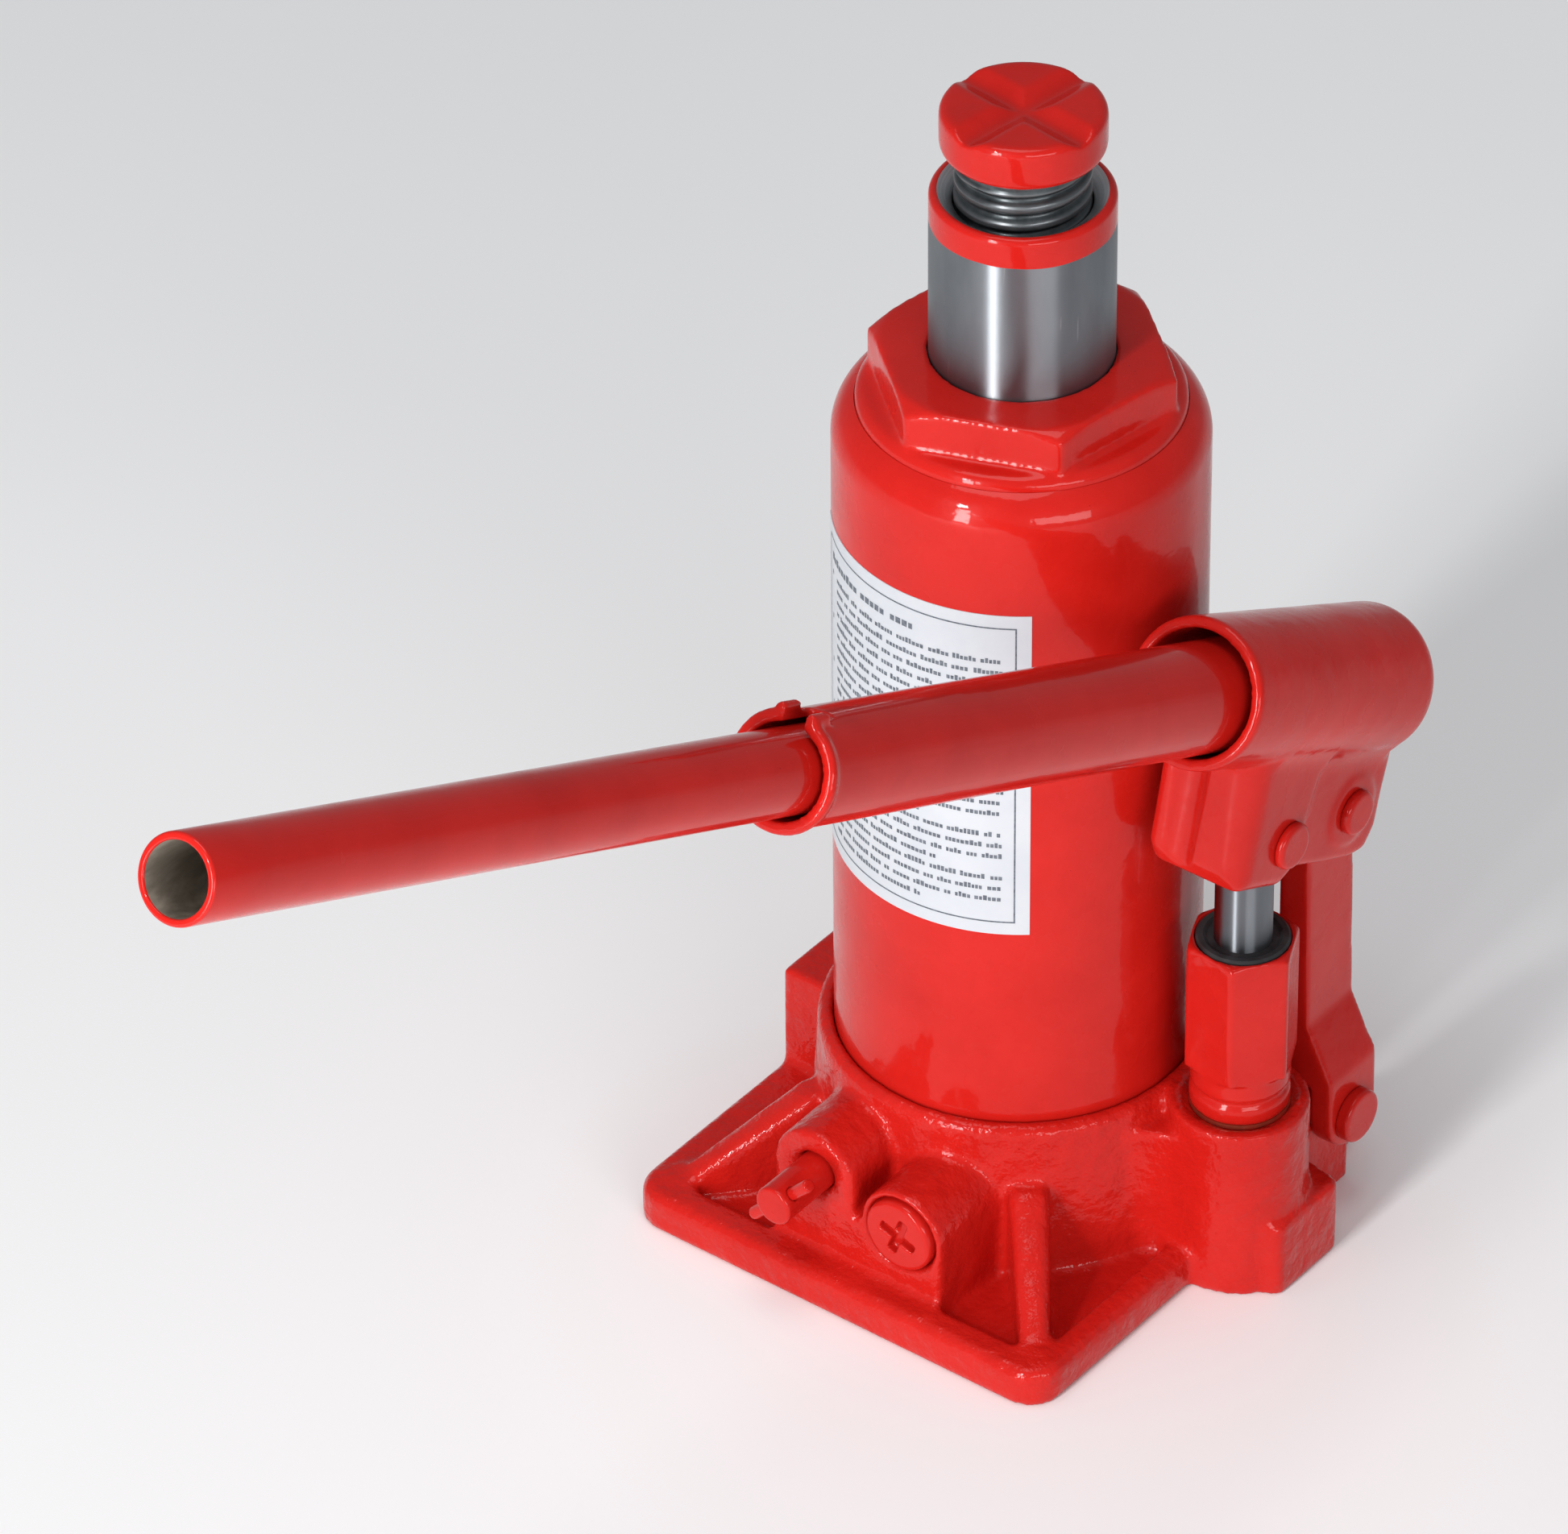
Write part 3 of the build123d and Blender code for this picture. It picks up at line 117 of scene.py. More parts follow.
def roughen(mesh, size, depth, seed):
    """Push a mesh's vertices in by about depth, in lumps of about that size."""
    offset = Vector((seed * 1.7, seed * 3.1, seed * 0.9))
    normals = [Vector(v.normal) for v in mesh.vertices]
    for vertex, normal in zip(mesh.vertices, normals):
        place = vertex.co / size
        lump = noise.noise(place + offset) + 0.5 * noise.noise(place * 2.3 + offset)
        vertex.co = vertex.co - normal * depth * (0.5 + 0.5 * lump)
    mesh.update()


def arc(cx, cz, radius, start, stop, count):
    """Points of a circular arc in an outline, by angle in degrees from the +r direction."""
    points = []
    for i in range(count + 1):
        angle = math.radians(start + (stop - start) * i / count)
        points.append((cx + radius * math.cos(angle), cz + radius * math.sin(angle)))
    return points


def turned_mesh(name, outline, segments=160, slots=None, wobble=None):
    """A closed outline of (radius, height) points turned about Z.

    slots gives a material index for each side of the outline. wobble moves a ring's height by angle.
    """
    verts = []
    faces = []
    count = len(outline)
    for s in range(segments):
        angle = 2 * math.pi * s / segments
        for i, (radius, height) in enumerate(outline):
            lift = wobble(i, angle) if wobble else 0.0
            verts.append((radius * math.cos(angle), radius * math.sin(angle), height + lift))
    for s in range(segments):
        following = (s + 1) % segments
        for i in range(count):
            j = (i + 1) % count
            faces.append((s * count + i, following * count + i, following * count + j, s * count + j))
    mesh = mesh_from(verts, faces, name)
    if slots:
        for k, polygon in enumerate(mesh.polygons):
            polygon.material_index = slots[k % count]
    work = bmesh.new()
    work.from_mesh(mesh)
    bmesh.ops.remove_doubles(work, verts=work.verts, dist=1e-7)
    bmesh.ops.recalc_face_normals(work, faces=work.faces)
    work.to_mesh(mesh)
    work.free()
    return mesh


def sharp_by_angle(mesh, degrees_limit=35):
    """Mark the edges that turn by more than the limit, so that shading breaks there."""
    work = bmesh.new()
    work.from_mesh(mesh)
    limit = math.radians(degrees_limit)
    for edge in work.edges:
        edge.smooth = len(edge.link_faces) == 2 and edge.calc_face_angle(0.0) < limit
    work.to_mesh(mesh)
    work.free()


# ---- Materials ----------------------------------------------------------------------------------
class Shader:
    """A node material with one Principled shader, and short calls to build what drives it."""

    def __init__(self, name, **values):
        self.material = bpy.data.materials.new(name)
        self.material.use_nodes = True
        self.tree = self.material.node_tree
        self.shader = self.tree.nodes["Principled BSDF"]
        for socket, value in values.items():
            self.shader.inputs[socket.replace("_", " ")].default_value = value
        self.place = self.add("ShaderNodeTexCoord").outputs["Object"]

    def add(self, kind, **settings):
        node = self.tree.nodes.new(kind)
        for key, value in settings.items():
            setattr(node, key, value)
        return node

    def link(self, output, target):
        self.tree.links.new(output, target)

    def stretched(self, x, y, z):
        mapping = self.add("ShaderNodeMapping")
        mapping.inputs["Scale"].default_value = (x, y, z)
        self.link(self.place, mapping.inputs["Vector"])
        return mapping.outputs["Vector"]

    def noise(self, scale, detail=3.0, roughness=0.5, vector=None):
        node = self.add("ShaderNodeTexNoise")
        node.inputs["Scale"].default_value = scale
        node.inputs["Detail"].default_value = detail
        node.inputs["Roughness"].default_value = roughness
        self.link(vector or self.place, node.inputs["Vector"])
        return node.outputs["Fac"]

    def cells(self, scale):
        node = self.add("ShaderNodeTexVoronoi")
        node.inputs["Scale"].default_value = scale
        self.link(self.place, node.inputs["Vector"])
        return node.outputs["Distance"]

    def ramp(self, fac, *stops):
        node = self.add("ShaderNodeValToRGB")
        ramp = node.color_ramp
        while len(ramp.elements) < len(stops):
            ramp.elements.new(0.5)
        for element, (position, value) in zip(ramp.elements, stops):
            element.position = position
            element.color = (*value, 1.0) if isinstance(value, tuple) else (value, value, value, 1.0)
        self.link(fac, node.inputs["Fac"])
        return node.outputs["Color"]

    def mix(self, fac, a, b):
        node = self.add("ShaderNodeMix", data_type="RGBA")
        self.link(fac, node.inputs["Factor"])
        for socket, value in (("A", a), ("B", b)):
            target = [s for s in node.inputs if s.name == socket and s.type == "RGBA"][0]
            if isinstance(value, tuple):
                target.default_value = (*value, 1.0)
            else:
                self.link(value, target)
        return [s for s in node.outputs if s.type == "RGBA"][0]

    def bump(self, height, strength, distance, below=None):
        node = self.add("ShaderNodeBump")
        node.inputs["Strength"].default_value = strength
        node.inputs["Distance"].default_value = distance
        self.link(height, node.inputs["Height"])
        if below:
            self.link(below, node.inputs["Normal"])
        return node.outputs["Normal"]

    def drive(self, socket, output):
        self.link(output, self.shader.inputs[socket])


ENAMEL_DEEP = (0.46, 0.008, 0.005)
ENAMEL_BRIGHT = (0.54, 0.013, 0.009)


def enamel(name, lumps, lump_depth, peel, rough=(0.20, 0.34)):
    """Gloss red enamel: changes of tone, orange peel, dust nibs, and the metal's lumps below."""
    m = Shader(name, Specular_IOR_Level=0.06, Coat_Weight=0.45, Coat_Roughness=0.04, Coat_IOR=1.45)
    tone = m.noise(38, 5.0, 0.6)
    colour = m.ramp(tone, (0.25, ENAMEL_DEEP), (0.62, ENAMEL_BRIGHT))
    specks = m.ramp(m.cells(420), (0.035, 1.0), (0.075, 0.0))
    sparse = m.ramp(m.noise(60, 2.0), (0.60, 0.0), (0.66, 1.0))
    nib = m.mix(sparse, (0.0, 0.0, 0.0), specks)
    m.drive("Base Color", m.mix(nib, colour, (0.22, 0.006, 0.004)))
    m.drive("Roughness", m.ramp(m.noise(95, 4.0), (0.3, rough[0]), (0.7, rough[1])))
    surface = m.bump(m.noise(lumps, 4.0, 0.55), 0.75, lump_depth)
    surface = m.bump(m.noise(1400, 2.0), peel, 0.00012, surface)
    surface = m.bump(nib, 0.5, 0.00015, surface)
    m.drive("Normal", surface)
    m.link(surface, m.shader.inputs["Coat Normal"])
    return m.material


def ground_steel():
    """Ground and polished bar: fine rings round the bar, oily smudges, a few scratches."""
    m = Shader("ground_steel", Metallic=1.0, Anisotropic=1.0, Anisotropic_Rotation=0.25)
    rings = m.noise(1.0, 4.0, 0.7, m.stretched(24, 24, 7000))
    smudge = m.noise(42, 5.0, 0.6, m.stretched(1, 1, 0.35))
    scratch = m.noise(1.0, 2.0, 0.5, m.stretched(900, 900, 60))
    marks = m.ramp(scratch, (0.70, 0.0), (0.76, 1.0))
    colour = m.ramp(smudge, (0.30, (0.19, 0.205, 0.225)), (0.65, (0.28, 0.295, 0.315)))
    m.drive("Base Color", m.mix(marks, colour, (0.34, 0.35, 0.36)))
    m.drive("Roughness", m.ramp(smudge, (0.30, 0.36), (0.70, 0.30)))
    m.drive("Normal", m.bump(rings, 0.10, 0.00004))
    tangent = m.add("ShaderNodeTangent", direction_type="RADIAL", axis="Z")
    m.link(tangent.outputs["Tangent"], m.shader.inputs["Tangent"])
    return m.material


def dark_steel():
    """Turned steel left dark and oily: grey on the crests and near black in the roots, partly wear and partly
    painted highlight and painted shade.
    """
    m = Shader("dark_steel", Metallic=0.9, Coat_Weight=0.3, Coat_Roughness=0.16)
    tone = m.noise(160, 5.0, 0.65)
    colour = m.ramp(tone, (0.3, (0.028, 0.034, 0.037)), (0.7, (0.095, 0.108, 0.114)))
    # Pointiness greys the convex crests: partly wear, partly a painted highlight, which leaves painted shade in
    # the roots.
    crest_wear_and_painted_light = m.add("ShaderNodeNewGeometry").outputs["Pointiness"]
    m.drive("Base Color", m.mix(m.ramp(crest_wear_and_painted_light, (0.50, 0.0), (0.56, 1.0)), colour, (0.20, 0.21, 0.22)))
    m.drive("Roughness", m.ramp(tone, (0.3, 0.28), (0.7, 0.45)))
    m.drive("Normal", m.bump(m.noise(1.0, 4.0, 0.6, m.stretched(60, 60, 4200)), 0.18, 0.00006))
    return m.material


def machined_steel():
    """Bright turned metal, as on a chamfer fresh from the lathe."""
    m = Shader("machined_steel", Metallic=1.0)
    rings = m.noise(1.0, 4.0, 0.7, m.stretched(40, 40, 5200))
    m.drive("Base Color", m.ramp(rings, (0.3, (0.50, 0.53, 0.55)), (0.7, (0.72, 0.75, 0.77))))
    m.drive("Roughness", m.ramp(m.noise(120), (0.3, 0.30), (0.7, 0.46)))
    m.drive("Normal", m.bump(rings, 0.25, 0.00006))
    return m.material


def rubber():
    m = Shader("black_rubber", Specular_IOR_Level=0.4)
    tone = m.noise(300, 4.0)
    m.drive("Base Color", m.ramp(tone, (0.3, (0.012, 0.013, 0.014)), (0.7, (0.040, 0.042, 0.044))))
    m.drive("Roughness", m.ramp(m.noise(130), (0.3, 0.42), (0.7, 0.62)))
    m.drive("Normal", m.bump(m.noise(1700, 3.0), 0.25, 0.00008))
    return m.material


def copper():
    m = Shader("copper", Metallic=1.0)
    tone = m.noise(200, 5.0)
    m.drive("Base Color", m.ramp(tone, (0.3, (0.40, 0.16, 0.08)), (0.7, (0.74, 0.38, 0.24))))
    m.drive("Roughness", m.ramp(tone, (0.3, 0.5), (0.7, 0.3)))
    m.drive("Normal", m.bump(m.noise(900), 0.2, 0.00005))
    return m.material


def bright_steel():
    m = Shader("bright_steel", Metallic=1.0)
    tone = m.noise(260, 4.0)
    m.drive("Base Color", m.ramp(tone, (0.3, (0.58, 0.59, 0.61)), (0.7, (0.74, 0.75, 0.77))))
    m.drive("Roughness", m.ramp(tone, (0.3, 0.10), (0.7, 0.20)))
    m.drive("Normal", m.bump(m.noise(1500), 0.05, 0.00003))
    return m.material


def bare_bore_painted_light():
    """The unpainted inside of a drawn tube: brown-grey scale with streaks along the draw, its colour lifted as
    painted light where little lamp light reaches inside.
    """
    m = Shader("bare_bore_painted_light", Metallic=0.35)
    scale = m.noise(1.0, 6.0, 0.65, m.stretched(260, 30, 260))
    # Scale colours lifted about fourfold: painted light inside the tube, which the lamps hardly reach.
    m.drive("Base Color", m.ramp(scale, (0.28, (0.16, 0.14, 0.11)), (0.50, (0.30, 0.26, 0.21)),
                                 (0.74, (0.46, 0.40, 0.33))))
    m.drive("Roughness", m.ramp(scale, (0.3, 0.45), (0.7, 0.7)))
    m.drive("Normal", m.bump(scale, 0.4, 0.00012))
    return m.material


def label_film():
    """Satin white film, with slow changes of tone and shallow bubbles under it."""
    m = Shader("label_film", Specular_IOR_Level=0.45, Coat_Weight=0.25, Coat_Roughness=0.2)
    tone = m.noise(55, 5.0, 0.6)
    m.drive("Base Color", m.ramp(tone, (0.3, (0.500, 0.520, 0.560)), (0.7, (0.560, 0.575, 0.605))))
    m.drive("Roughness", m.ramp(m.noise(140, 4.0), (0.3, 0.30), (0.7, 0.46)))
    m.drive("Normal", m.bump(m.noise(120, 3.0), 0.12, 0.0002))
    return m.material


def label_ink():
    m = Shader("label_ink")
    tone = m.noise(1500, 3.0)
    m.drive("Base Color", m.ramp(tone, (0.3, (0.055, 0.065, 0.085)), (0.7, (0.16, 0.18, 0.21))))
    m.drive("Roughness", m.ramp(tone, (0.3, 0.4), (0.7, 0.6)))
    return m.material


CAST_RED = enamel("red_enamel_cast", 170, 0.0013, 0.10)
PRESSED_RED = enamel("red_enamel_pressed", 60, 0.00045, 0.06)
TURNED_RED = enamel("red_enamel_turned", 70, 0.00028, 0.07)
TUBE_RED = enamel("red_enamel_tube", 45, 0.00022, 0.05, (0.16, 0.28))
GROUND = ground_steel()
DARK = dark_steel()
MACHINED = machined_steel()
RUBBER = rubber()
COPPER = copper()
BRIGHT = bright_steel()
BORE = bare_bore_painted_light()
FILM = label_film()
INK = label_ink()

SLOT_MATERIALS = {
    "red_enamel": CAST_RED, "ground_steel": GROUND, "dark_steel": DARK, "bright_steel": BRIGHT,
    "black_rubber": RUBBER, "copper_washer": COPPER, "label_film": FILM,
}


def finish_cad_nodes():
    """Every carried-over CAD node takes the material of its slot."""
    for entry in frame["record"]["subparts"]:
        node = nodes[entry["node"]]
        node.data.materials.clear()
        node.data.materials.append(SLOT_MATERIALS[entry["material_slot"]])


# ---- Castings and forgings ----------------------------------------------------------------------
def build_castings():
    specs = (
        # node, voxel, smoothing rounds, lump size, lump depth, material, body
        ("base_casting", 0.8, 9, 9.0, 0.10, CAST_RED, "root"),
        ("handle_socket", 0.6, 9, 8.0, 0.06, PRESSED_RED, "socket"),
        ("link_arm", 0.6, 6, 8.0, 0.06, PRESSED_RED, "link"),
        ("top_nut", 0.6, 14, 7.0, 0.08, TURNED_RED, "root"),
        ("saddle", 0.4, 14, 5.0, 0.07, TURNED_RED, "screw"),
        ("pump_cylinder", 0.5, 8, 6.0, 0.06, TURNED_RED, "root"),
    )
    for seed, (node, voxel, rounds, lump, depth, material, body) in enumerate(specs):
        mesh = soft_copy(node, "painted_" + node, voxel * MM, rounds)
        roughen(mesh, lump * MM, depth * MM, seed + 1)
        add_object("painted_" + node, mesh, body, [material], [node])


def build_fasteners():
    specs = (
        ("link_lower_pin", "link", 4), ("link_upper_pin", "socket", 4), ("plunger_pin", "socket", 4),
        ("release_valve_stem", "release_valve", 3), ("release_cross_pin", "release_valve", 2),
        ("relief_plug", "root", 3),
    )
    for seed, (node, body, rounds) in enumerate(specs):
        mesh = soft_copy(node, "painted_" + node, 0.3 * MM, rounds)
        roughen(mesh, 3.0 * MM, 0.04 * MM, seed + 20)
        add_object("painted_" + node, mesh, body, [TURNED_RED], [node])


# ---- Turned pieces ------------------------------------------------------------------------------
def build_reservoir():
    low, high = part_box("reservoir_tube")
    radius = high.x
    wall = 3.0 * MM
    shoulder = 9.6 * MM
    straight_top = 190.8 * MM
    extra_rings = (40 * MM, 90 * MM)
    nut_play = 0.05 * MM
    mouth_play = 1.0 * MM
    corner_in = 6 * MM
    corner_down = 5 * MM
    flange_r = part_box("top_nut")[1].x + nut_play
    seat_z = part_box("reservoir_top_gasket")[0].z
    mouth_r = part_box("cylinder_tube")[1].x + mouth_play
    outline = [(radius, low.z)]
    outline += [(radius, low.z + height) for height in extra_rings]
    reach = math.degrees(math.acos((flange_r - (radius - shoulder)) / shoulder))
    outline += arc(radius - shoulder, straight_top, shoulder, 0, reach, 14)
    outline += [(flange_r, seat_z), (mouth_r, seat_z), (mouth_r, seat_z - wall)]
    outline += [(radius - wall - corner_in, seat_z - wall)]
    outline += [(radius - wall, straight_top - corner_down), (radius - wall, low.z)]
    mesh = turned_mesh("painted_reservoir", outline, 224)
    sharp_by_angle(mesh, 40)
    add_object("painted_reservoir", mesh, "root", [TURNED_RED], ["reservoir_tube"])


def build_ram():
    """The ground ram, painted above the line that the top nut reaches when the ram is down."""
    low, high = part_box("ram_tube")
    radius = high.x
    thread_play = 0.3 * MM
    shoulder_z = 228.5 * MM
    floor_z = 138.0 * MM
    foot_bevel = 0.4 * MM
    lip = 1.4 * MM
    chamfer = 3.0 * MM
    chamfer_depth = 0.8 * chamfer
    paint_gap = 0.1 * MM
    edge_drop = 0.1 * MM
    paint_waver = 0.25 * MM
    steps = 10
    nut_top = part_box("top_nut")[1].z
    lowest_lift = joints["ram_lift"]["range_m"][0]
    paint_z = nut_top - lowest_lift + paint_gap
    mouth_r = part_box("extension_screw")[1].x + thread_play
    wide_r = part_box("screw_stop_ring")[1].x + thread_play
    outline = [(radius, low.z + foot_bevel)]
    outline += [(radius, low.z + (paint_z - low.z) * (i + 1) / steps) for i in range(steps)]
    paint_ring = len(outline) - 1
    outline += arc(radius - lip, high.z - lip, lip, 0, 90, 7)
    outline += [(mouth_r + chamfer, high.z - edge_drop)]
    painted_end = len(outline) - 1
    outline += [(mouth_r, high.z - chamfer_depth), (mouth_r, shoulder_z), (wide_r, shoulder_z)]
    outline += [(wide_r, floor_z), (0.0, floor_z), (0.0, low.z), (radius - foot_bevel, low.z)]
    ground, painted, machined = 0, 1, 2
    slots = [ground] * len(outline)
    for i in range(paint_ring, painted_end):
        slots[i] = painted
    for i in range(painted_end, len(outline) - 2):
        slots[i] = machined

    def wobble(i, angle):
        """The brushed edge of the paint isn't quite level."""
        if i != paint_ring:
            return 0.0
        return paint_waver * noise.noise(Vector((3 * math.cos(angle), 3 * math.sin(angle), 0.3)))

    mesh = turned_mesh("ground_ram", outline, 192, slots, wobble)
    sharp_by_angle(mesh, 30)
    materials = [GROUND, TURNED_RED, MACHINED]
    add_object("ground_ram", mesh, "ram", materials, ["ram_tube"])


def build_screw():
    """The extension screw with its real helical thread, as a height field round the core."""
    low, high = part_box("extension_screw")
    saddle_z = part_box("saddle")[0].z
    pitch = 4.0 * MM
    thread_depth = 1.25 * MM
    crest_flattening = 1.35
    neck_length = 3.6 * MM
    neck_step = 0.8 * MM
    neck_blend = 1.2 * MM
    tail_length = 7.0 * MM
    tail_r = 11.0 * MM
    tail_blend = 1.0 * MM
    row_height = 0.4 * MM
    segments = 96
    crest = high.x
    root = crest - thread_depth
    neck_low = saddle_z - neck_length
    neck_r = crest - neck_step
    thread_low = low.z + tail_length
    rows = int((saddle_z - low.z) / row_height)
    heights = [low.z + (saddle_z - low.z) * i / rows for i in range(rows + 1)]

    def radius_at(z, angle):
        """The thread's ridge, run into the plain neck above it and the plain tail below it."""
        turn = (z / pitch - angle / (2 * math.pi)) % 1.0
        ridge = min(1.0, (0.5 - 0.5 * math.cos(2 * math.pi * turn)) * crest_flattening)
        radius = root + (crest - root) * ridge
        radius += (neck_r - radius) * min(1.0, max(0.0, (z - neck_low) / neck_blend))
        return radius + (tail_r - radius) * min(1.0, max(0.0, (thread_low - z) / tail_blend))

    verts = []
    for z in heights:
        for s in range(segments):
            angle = 2 * math.pi * s / segments
            radius = radius_at(z, angle)
            verts.append((radius * math.cos(angle), radius * math.sin(angle), z))
    faces = []
    for low_row in range(0, rows * segments, segments):
        high_row = low_row + segments
        for s in range(segments):
            t = (s + 1) % segments
            faces.append((low_row + s, low_row + t, high_row + t, high_row + s))
    verts += [(0, 0, heights[0]), (0, 0, heights[-1])]
    bottom, top = len(verts) - 2, len(verts) - 1
    last = rows * segments
    for s in range(segments):
        t = (s + 1) % segments
        faces.append((bottom, t, s))
        faces.append((top, last + s, last + t))
    mesh = mesh_from(verts, faces, "threaded_screw")
    sharp_by_angle(mesh, 60)
    add_object("threaded_screw", mesh, "screw", [DARK], ["extension_screw"])


# ---- Handle tubes -------------------------------------------------------------------------------
LIP_LENGTH = 3 * MM


def handle_frame():
    """Matrix from handle coordinates to the row frame, and the upper tube's near end in them.

    Handle coordinates have Z outward along the tubes, and their origin at the upper tube's far end.
    """
    end_band = 0.05 * MM
    axis = Vector(joints["handle_telescope"]["axis"]).normalized()
    side = Vector((1, 0, 0))
    up = axis.cross(side)
    tube = nodes["handle_upper_tube"].data
    along = [Vector(v.co).dot(axis) for v in tube.vertices]
    far = max(along)
    end = [Vector(v.co) for v, d in zip(tube.vertices, along) if d > far - end_band]
    centre = sum(end, Vector()) / len(end)
    rotation = Matrix((side, up, axis)).transposed().to_4x4()
    return Matrix.Translation(centre) @ rotation, min(along) - far


def tube_outline(outer, inner, near, far, lip):
    """Outline of a tube with rolled lips, in handle coordinates."""
    inner_lip = lip * 0.6
    steps = 14
    outline = arc(outer - lip, near + lip, lip, -90, 0, 4)
    outline += [(outer, near + (far - near) * i / steps) for i in range(1, steps)]
    outline += arc(outer - lip, far - lip, lip, 0, 90, 4)
    outline += arc(inner + inner_lip, far - inner_lip, inner_lip, 90, 180, 3)
    outline += [(inner, far - LIP_LENGTH), (inner, near + LIP_LENGTH)]
    outline += arc(inner + inner_lip, near + inner_lip, inner_lip, 180, 270, 3)
    return outline


def build_handle_tubes():
    wall = 1.55 * MM
    lip = 0.75 * MM
    place, near = handle_frame()
    low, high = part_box("handle_upper_tube")
    outer = (high.x - low.x) / 2
    outline = tube_outline(outer, outer - wall, near, 0.0, lip)
    count = len(outline)
    inner_start = max(i for i, (_, z) in enumerate(outline) if abs(z + LIP_LENGTH) < 1e-9)
    painted, bare = 0, 1
    slots = [bare if inner_start - 1 <= i < count - 1 else painted for i in range(count)]
    mesh = turned_mesh("painted_upper_tube", outline, 96, slots)
    mesh.transform(place)
    sharp_by_angle(mesh, 50)
    add_object("painted_upper_tube", mesh, "handle_upper", [TUBE_RED, BORE],
               ["handle_upper_tube"])
    mesh = soft_copy("handle_lower_tube", "painted_lower_tube", 0.65 * MM, 5)
    add_object("painted_lower_tube", mesh, "handle_lower", [TUBE_RED],
               ["handle_lower_tube"])


# ---- Label --------------------------------------------------------------------------------------
def label_patch(verts, faces, radius, start, stop, low, high, columns):
    """Add a patch of a cylinder between two angles and two heights."""
    base = len(verts)
    for i in range(columns + 1):
        angle = start + (stop - start) * i / columns
        for z in (low, high):
            verts.append((radius * math.cos(angle), radius * math.sin(angle), z))
    for i in range(columns):
        k = base + 2 * i
        faces.append((k, k + 2, k + 3, k + 1))


def build_label():
    """The label's print: a border, and rows of word-like blank blocks in paragraphs."""
    low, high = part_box("instruction_label")
    film_lift = 0.15 * MM
    ink_lift = 0.03 * MM
    start, stop = math.radians(-140), math.radians(-50)
    margin = 3.0 * MM
    line = 0.35 * MM
    text_margin = 2.4 * MM
    heading_drop = 5.2 * MM
    heading_share = 0.62
    heading_gap = 3.8 * MM
    heading_size = (1.9 * MM, 1.25 * MM)
    text_size = (1.25 * MM, 0.72 * MM)
    row_pitch = 2.75 * MM
    foot_gap = 1.8 * MM
    indent = 3.4 * MM
    mark_size = (1.2 * MM, 0.5 * MM)
    paragraph_rows = 4
    film_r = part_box("reservoir_tube")[1].x + film_lift
    ink_r = film_r + ink_lift
    verts, faces = [], []
    left, right = start + margin / film_r, stop - margin / film_r
    bottom, top = low.z + margin, high.z - margin
    for z in (bottom, top - line):
        label_patch(verts, faces, ink_r, left, right, z, z + line, 60)
    for angle in (left, right - line / ink_r):
        label_patch(verts, faces, ink_r, angle, angle + line / ink_r, bottom, top, 1)
    draw = random.Random(11)
    text_left, text_right = left + text_margin / ink_r, right - text_margin / ink_r
    text_span = text_right - text_left

    def write_row(angle, end_angle, low_z, size):
        """One row of word-like groups of blank blocks, of about that height and width."""
        tall, wide = size
        while angle < end_angle - 2 * wide / ink_r:
            for _ in range(draw.randint(2, 9)):
                width = wide * draw.uniform(0.75, 1.15)
                if angle + width / ink_r > end_angle:
                    break
                height = tall * draw.choice((0.72, 0.72, 0.78, 1.0))
                label_patch(verts, faces, ink_r, angle, angle + width / ink_r, low_z, low_z + height, 1)
                angle += (width + 0.28 * wide) / ink_r
            angle += draw.uniform(0.9, 1.5) * wide / ink_r

    row_z = top - heading_drop
    write_row(text_left, text_left + heading_share * text_span, row_z, heading_size)
    row_z -= heading_gap
    row = 0
    while row_z > bottom + foot_gap:
        if row % paragraph_rows == 0:
            mark_right = text_left + mark_size[1] / ink_r
            label_patch(verts, faces, ink_r, text_left, mark_right, row_z, row_z + mark_size[0], 1)
        row_end = text_right
        if row % paragraph_rows == paragraph_rows - 1:
            row_end = text_left + draw.uniform(0.35, 0.8) * text_span
        write_row(text_left + indent / ink_r, row_end, row_z, text_size)
        row_z -= row_pitch
        row += 1
    ink = mesh_from(verts, faces, "label_print")
    add_object("label_print", ink, "root", [INK])


# ---- Floor, light and camera --------------------------------------------------------------------
def build_floor():
    reach = 3.5
    corners = [(-reach, -reach, 0), (reach, -reach, 0), (reach, reach, 0), (-reach, reach, 0)]
    mesh = mesh_from(corners, [(0, 1, 2, 3)], "floor", smooth=False)
    floor = bpy.data.objects.new("floor", mesh)
    bpy.context.scene.collection.objects.link(floor)
    m = Shader("pale_floor", Roughness=0.7)
    tone = m.noise(4.0, 3.0)
    m.drive("Base Color", m.ramp(tone, (0.3, (0.92, 0.92, 0.92)), (0.7, (0.94, 0.94, 0.94))))
    mesh.materials.append(m.material)


def on_sphere(azimuth, elevation, distance):
    """A vector of that length, by azimuth in radians from -Y towards +X, and elevation."""
    return distance * Vector((
        math.sin(azimuth) * math.cos(elevation), -math.cos(azimuth) * math.cos(elevation),
        math.sin(elevation)))


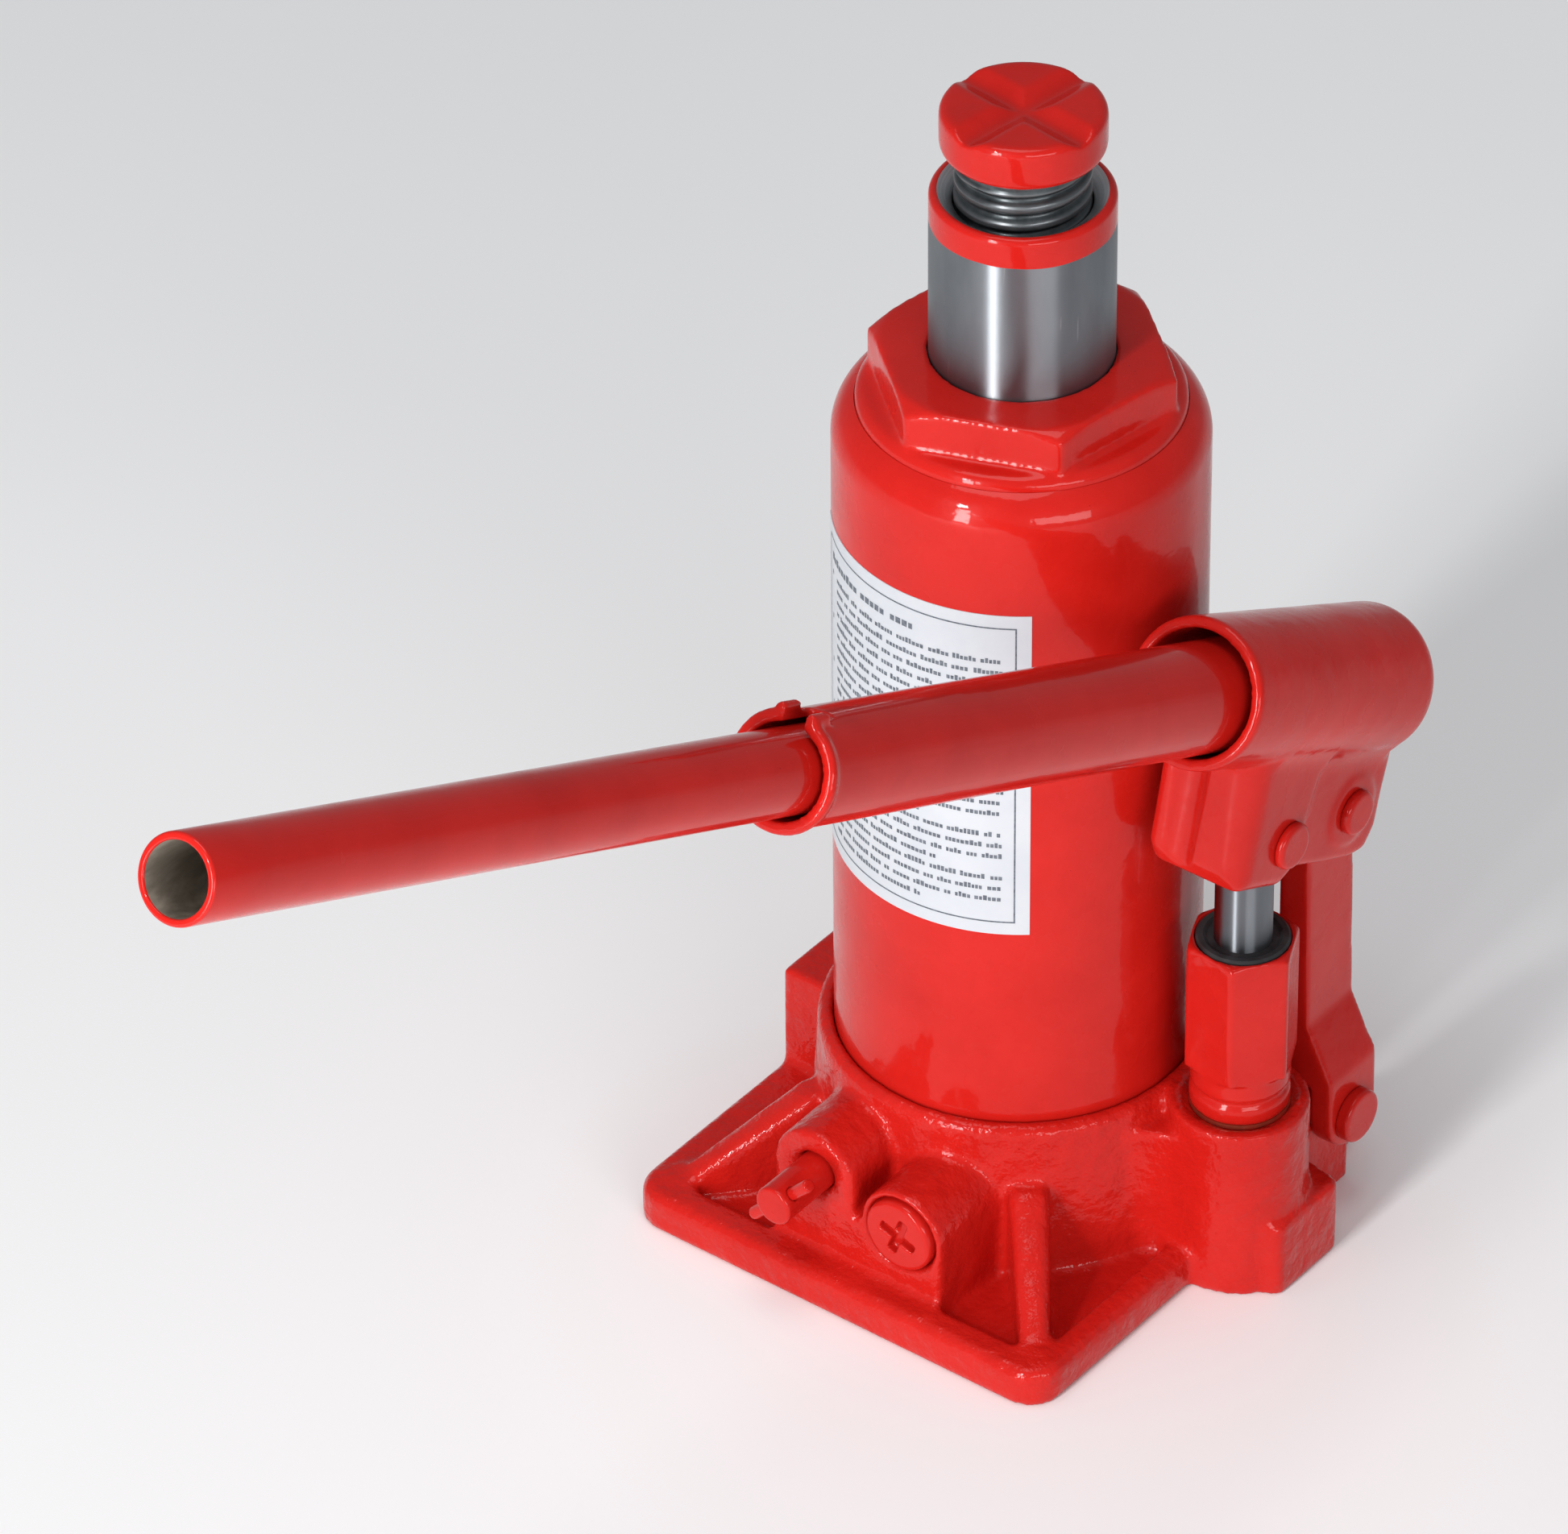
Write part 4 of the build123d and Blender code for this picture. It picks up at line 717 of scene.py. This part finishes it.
def area_light(name, azimuth, elevation, distance, width, height, power):
    """A softbox aimed at the middle of the jack, by azimuth and elevation in degrees."""
    target = Vector((0, -0.02, 0.12))
    light = bpy.data.lights.new(name, "AREA")
    light.shape = "RECTANGLE"
    light.size = width
    light.size_y = height
    light.energy = power
    lamp = bpy.data.objects.new(name, light)
    lamp.location = target + on_sphere(math.radians(azimuth), math.radians(elevation), distance)
    lamp.rotation_euler = (target - lamp.location).to_track_quat("-Z", "Y").to_euler()
    bpy.context.scene.collection.objects.link(lamp)


def build_light():
    sky_colour = (0.93, 0.96, 1.0, 1.0)
    sky_strength = 0.30
    softboxes = (
        # name, azimuth, elevation, distance, width, height, power
        ("key", 0, 36, 1.9, 0.14, 0.17, 8.5),
        ("strip", 4, 14, 1.7, 0.26, 0.92, 18.5),
        ("overhead", 0, 84, 2.2, 1.2, 1.2, 13),
        ("window", 60, 16, 1.8, 1.05, 0.5, 10),
    )
    world = bpy.data.worlds.new("studio")
    bpy.context.scene.world = world
    world.use_nodes = True
    background = world.node_tree.nodes["Background"]
    background.inputs["Color"].default_value = sky_colour
    background.inputs["Strength"].default_value = sky_strength
    for softbox in softboxes:
        area_light(*softbox)


def build_camera():
    """The photograph's viewpoint: a long lens from the front right, well above the jack."""
    azimuth, elevation = math.radians(36.487), math.radians(37.01)
    distance = 2.24695
    roll = math.radians(-0.544)
    pivot = Vector((0, 0, 0.1045))
    aim = Vector((-0.0390, -0.0294, 0.1048))
    lens = bpy.data.cameras.new("camera")
    lens.lens = 248.32
    lens.sensor_width = 36.0
    lens.clip_end = 20
    camera = bpy.data.objects.new("camera", lens)
    camera.location = pivot + on_sphere(azimuth, elevation, distance)
    facing = (aim - camera.location).to_track_quat("-Z", "Y").to_matrix()
    camera.rotation_euler = (facing @ Matrix.Rotation(roll, 3, "Z")).to_euler()
    bpy.context.scene.collection.objects.link(camera)
    bpy.context.scene.camera = camera


finish_cad_nodes()
build_castings()
build_fasteners()
build_reservoir()
build_ram()
build_screw()
build_handle_tubes()
build_label()
build_floor()
build_light()
build_camera()
bpy.context.scene.view_settings.view_transform = "Standard"
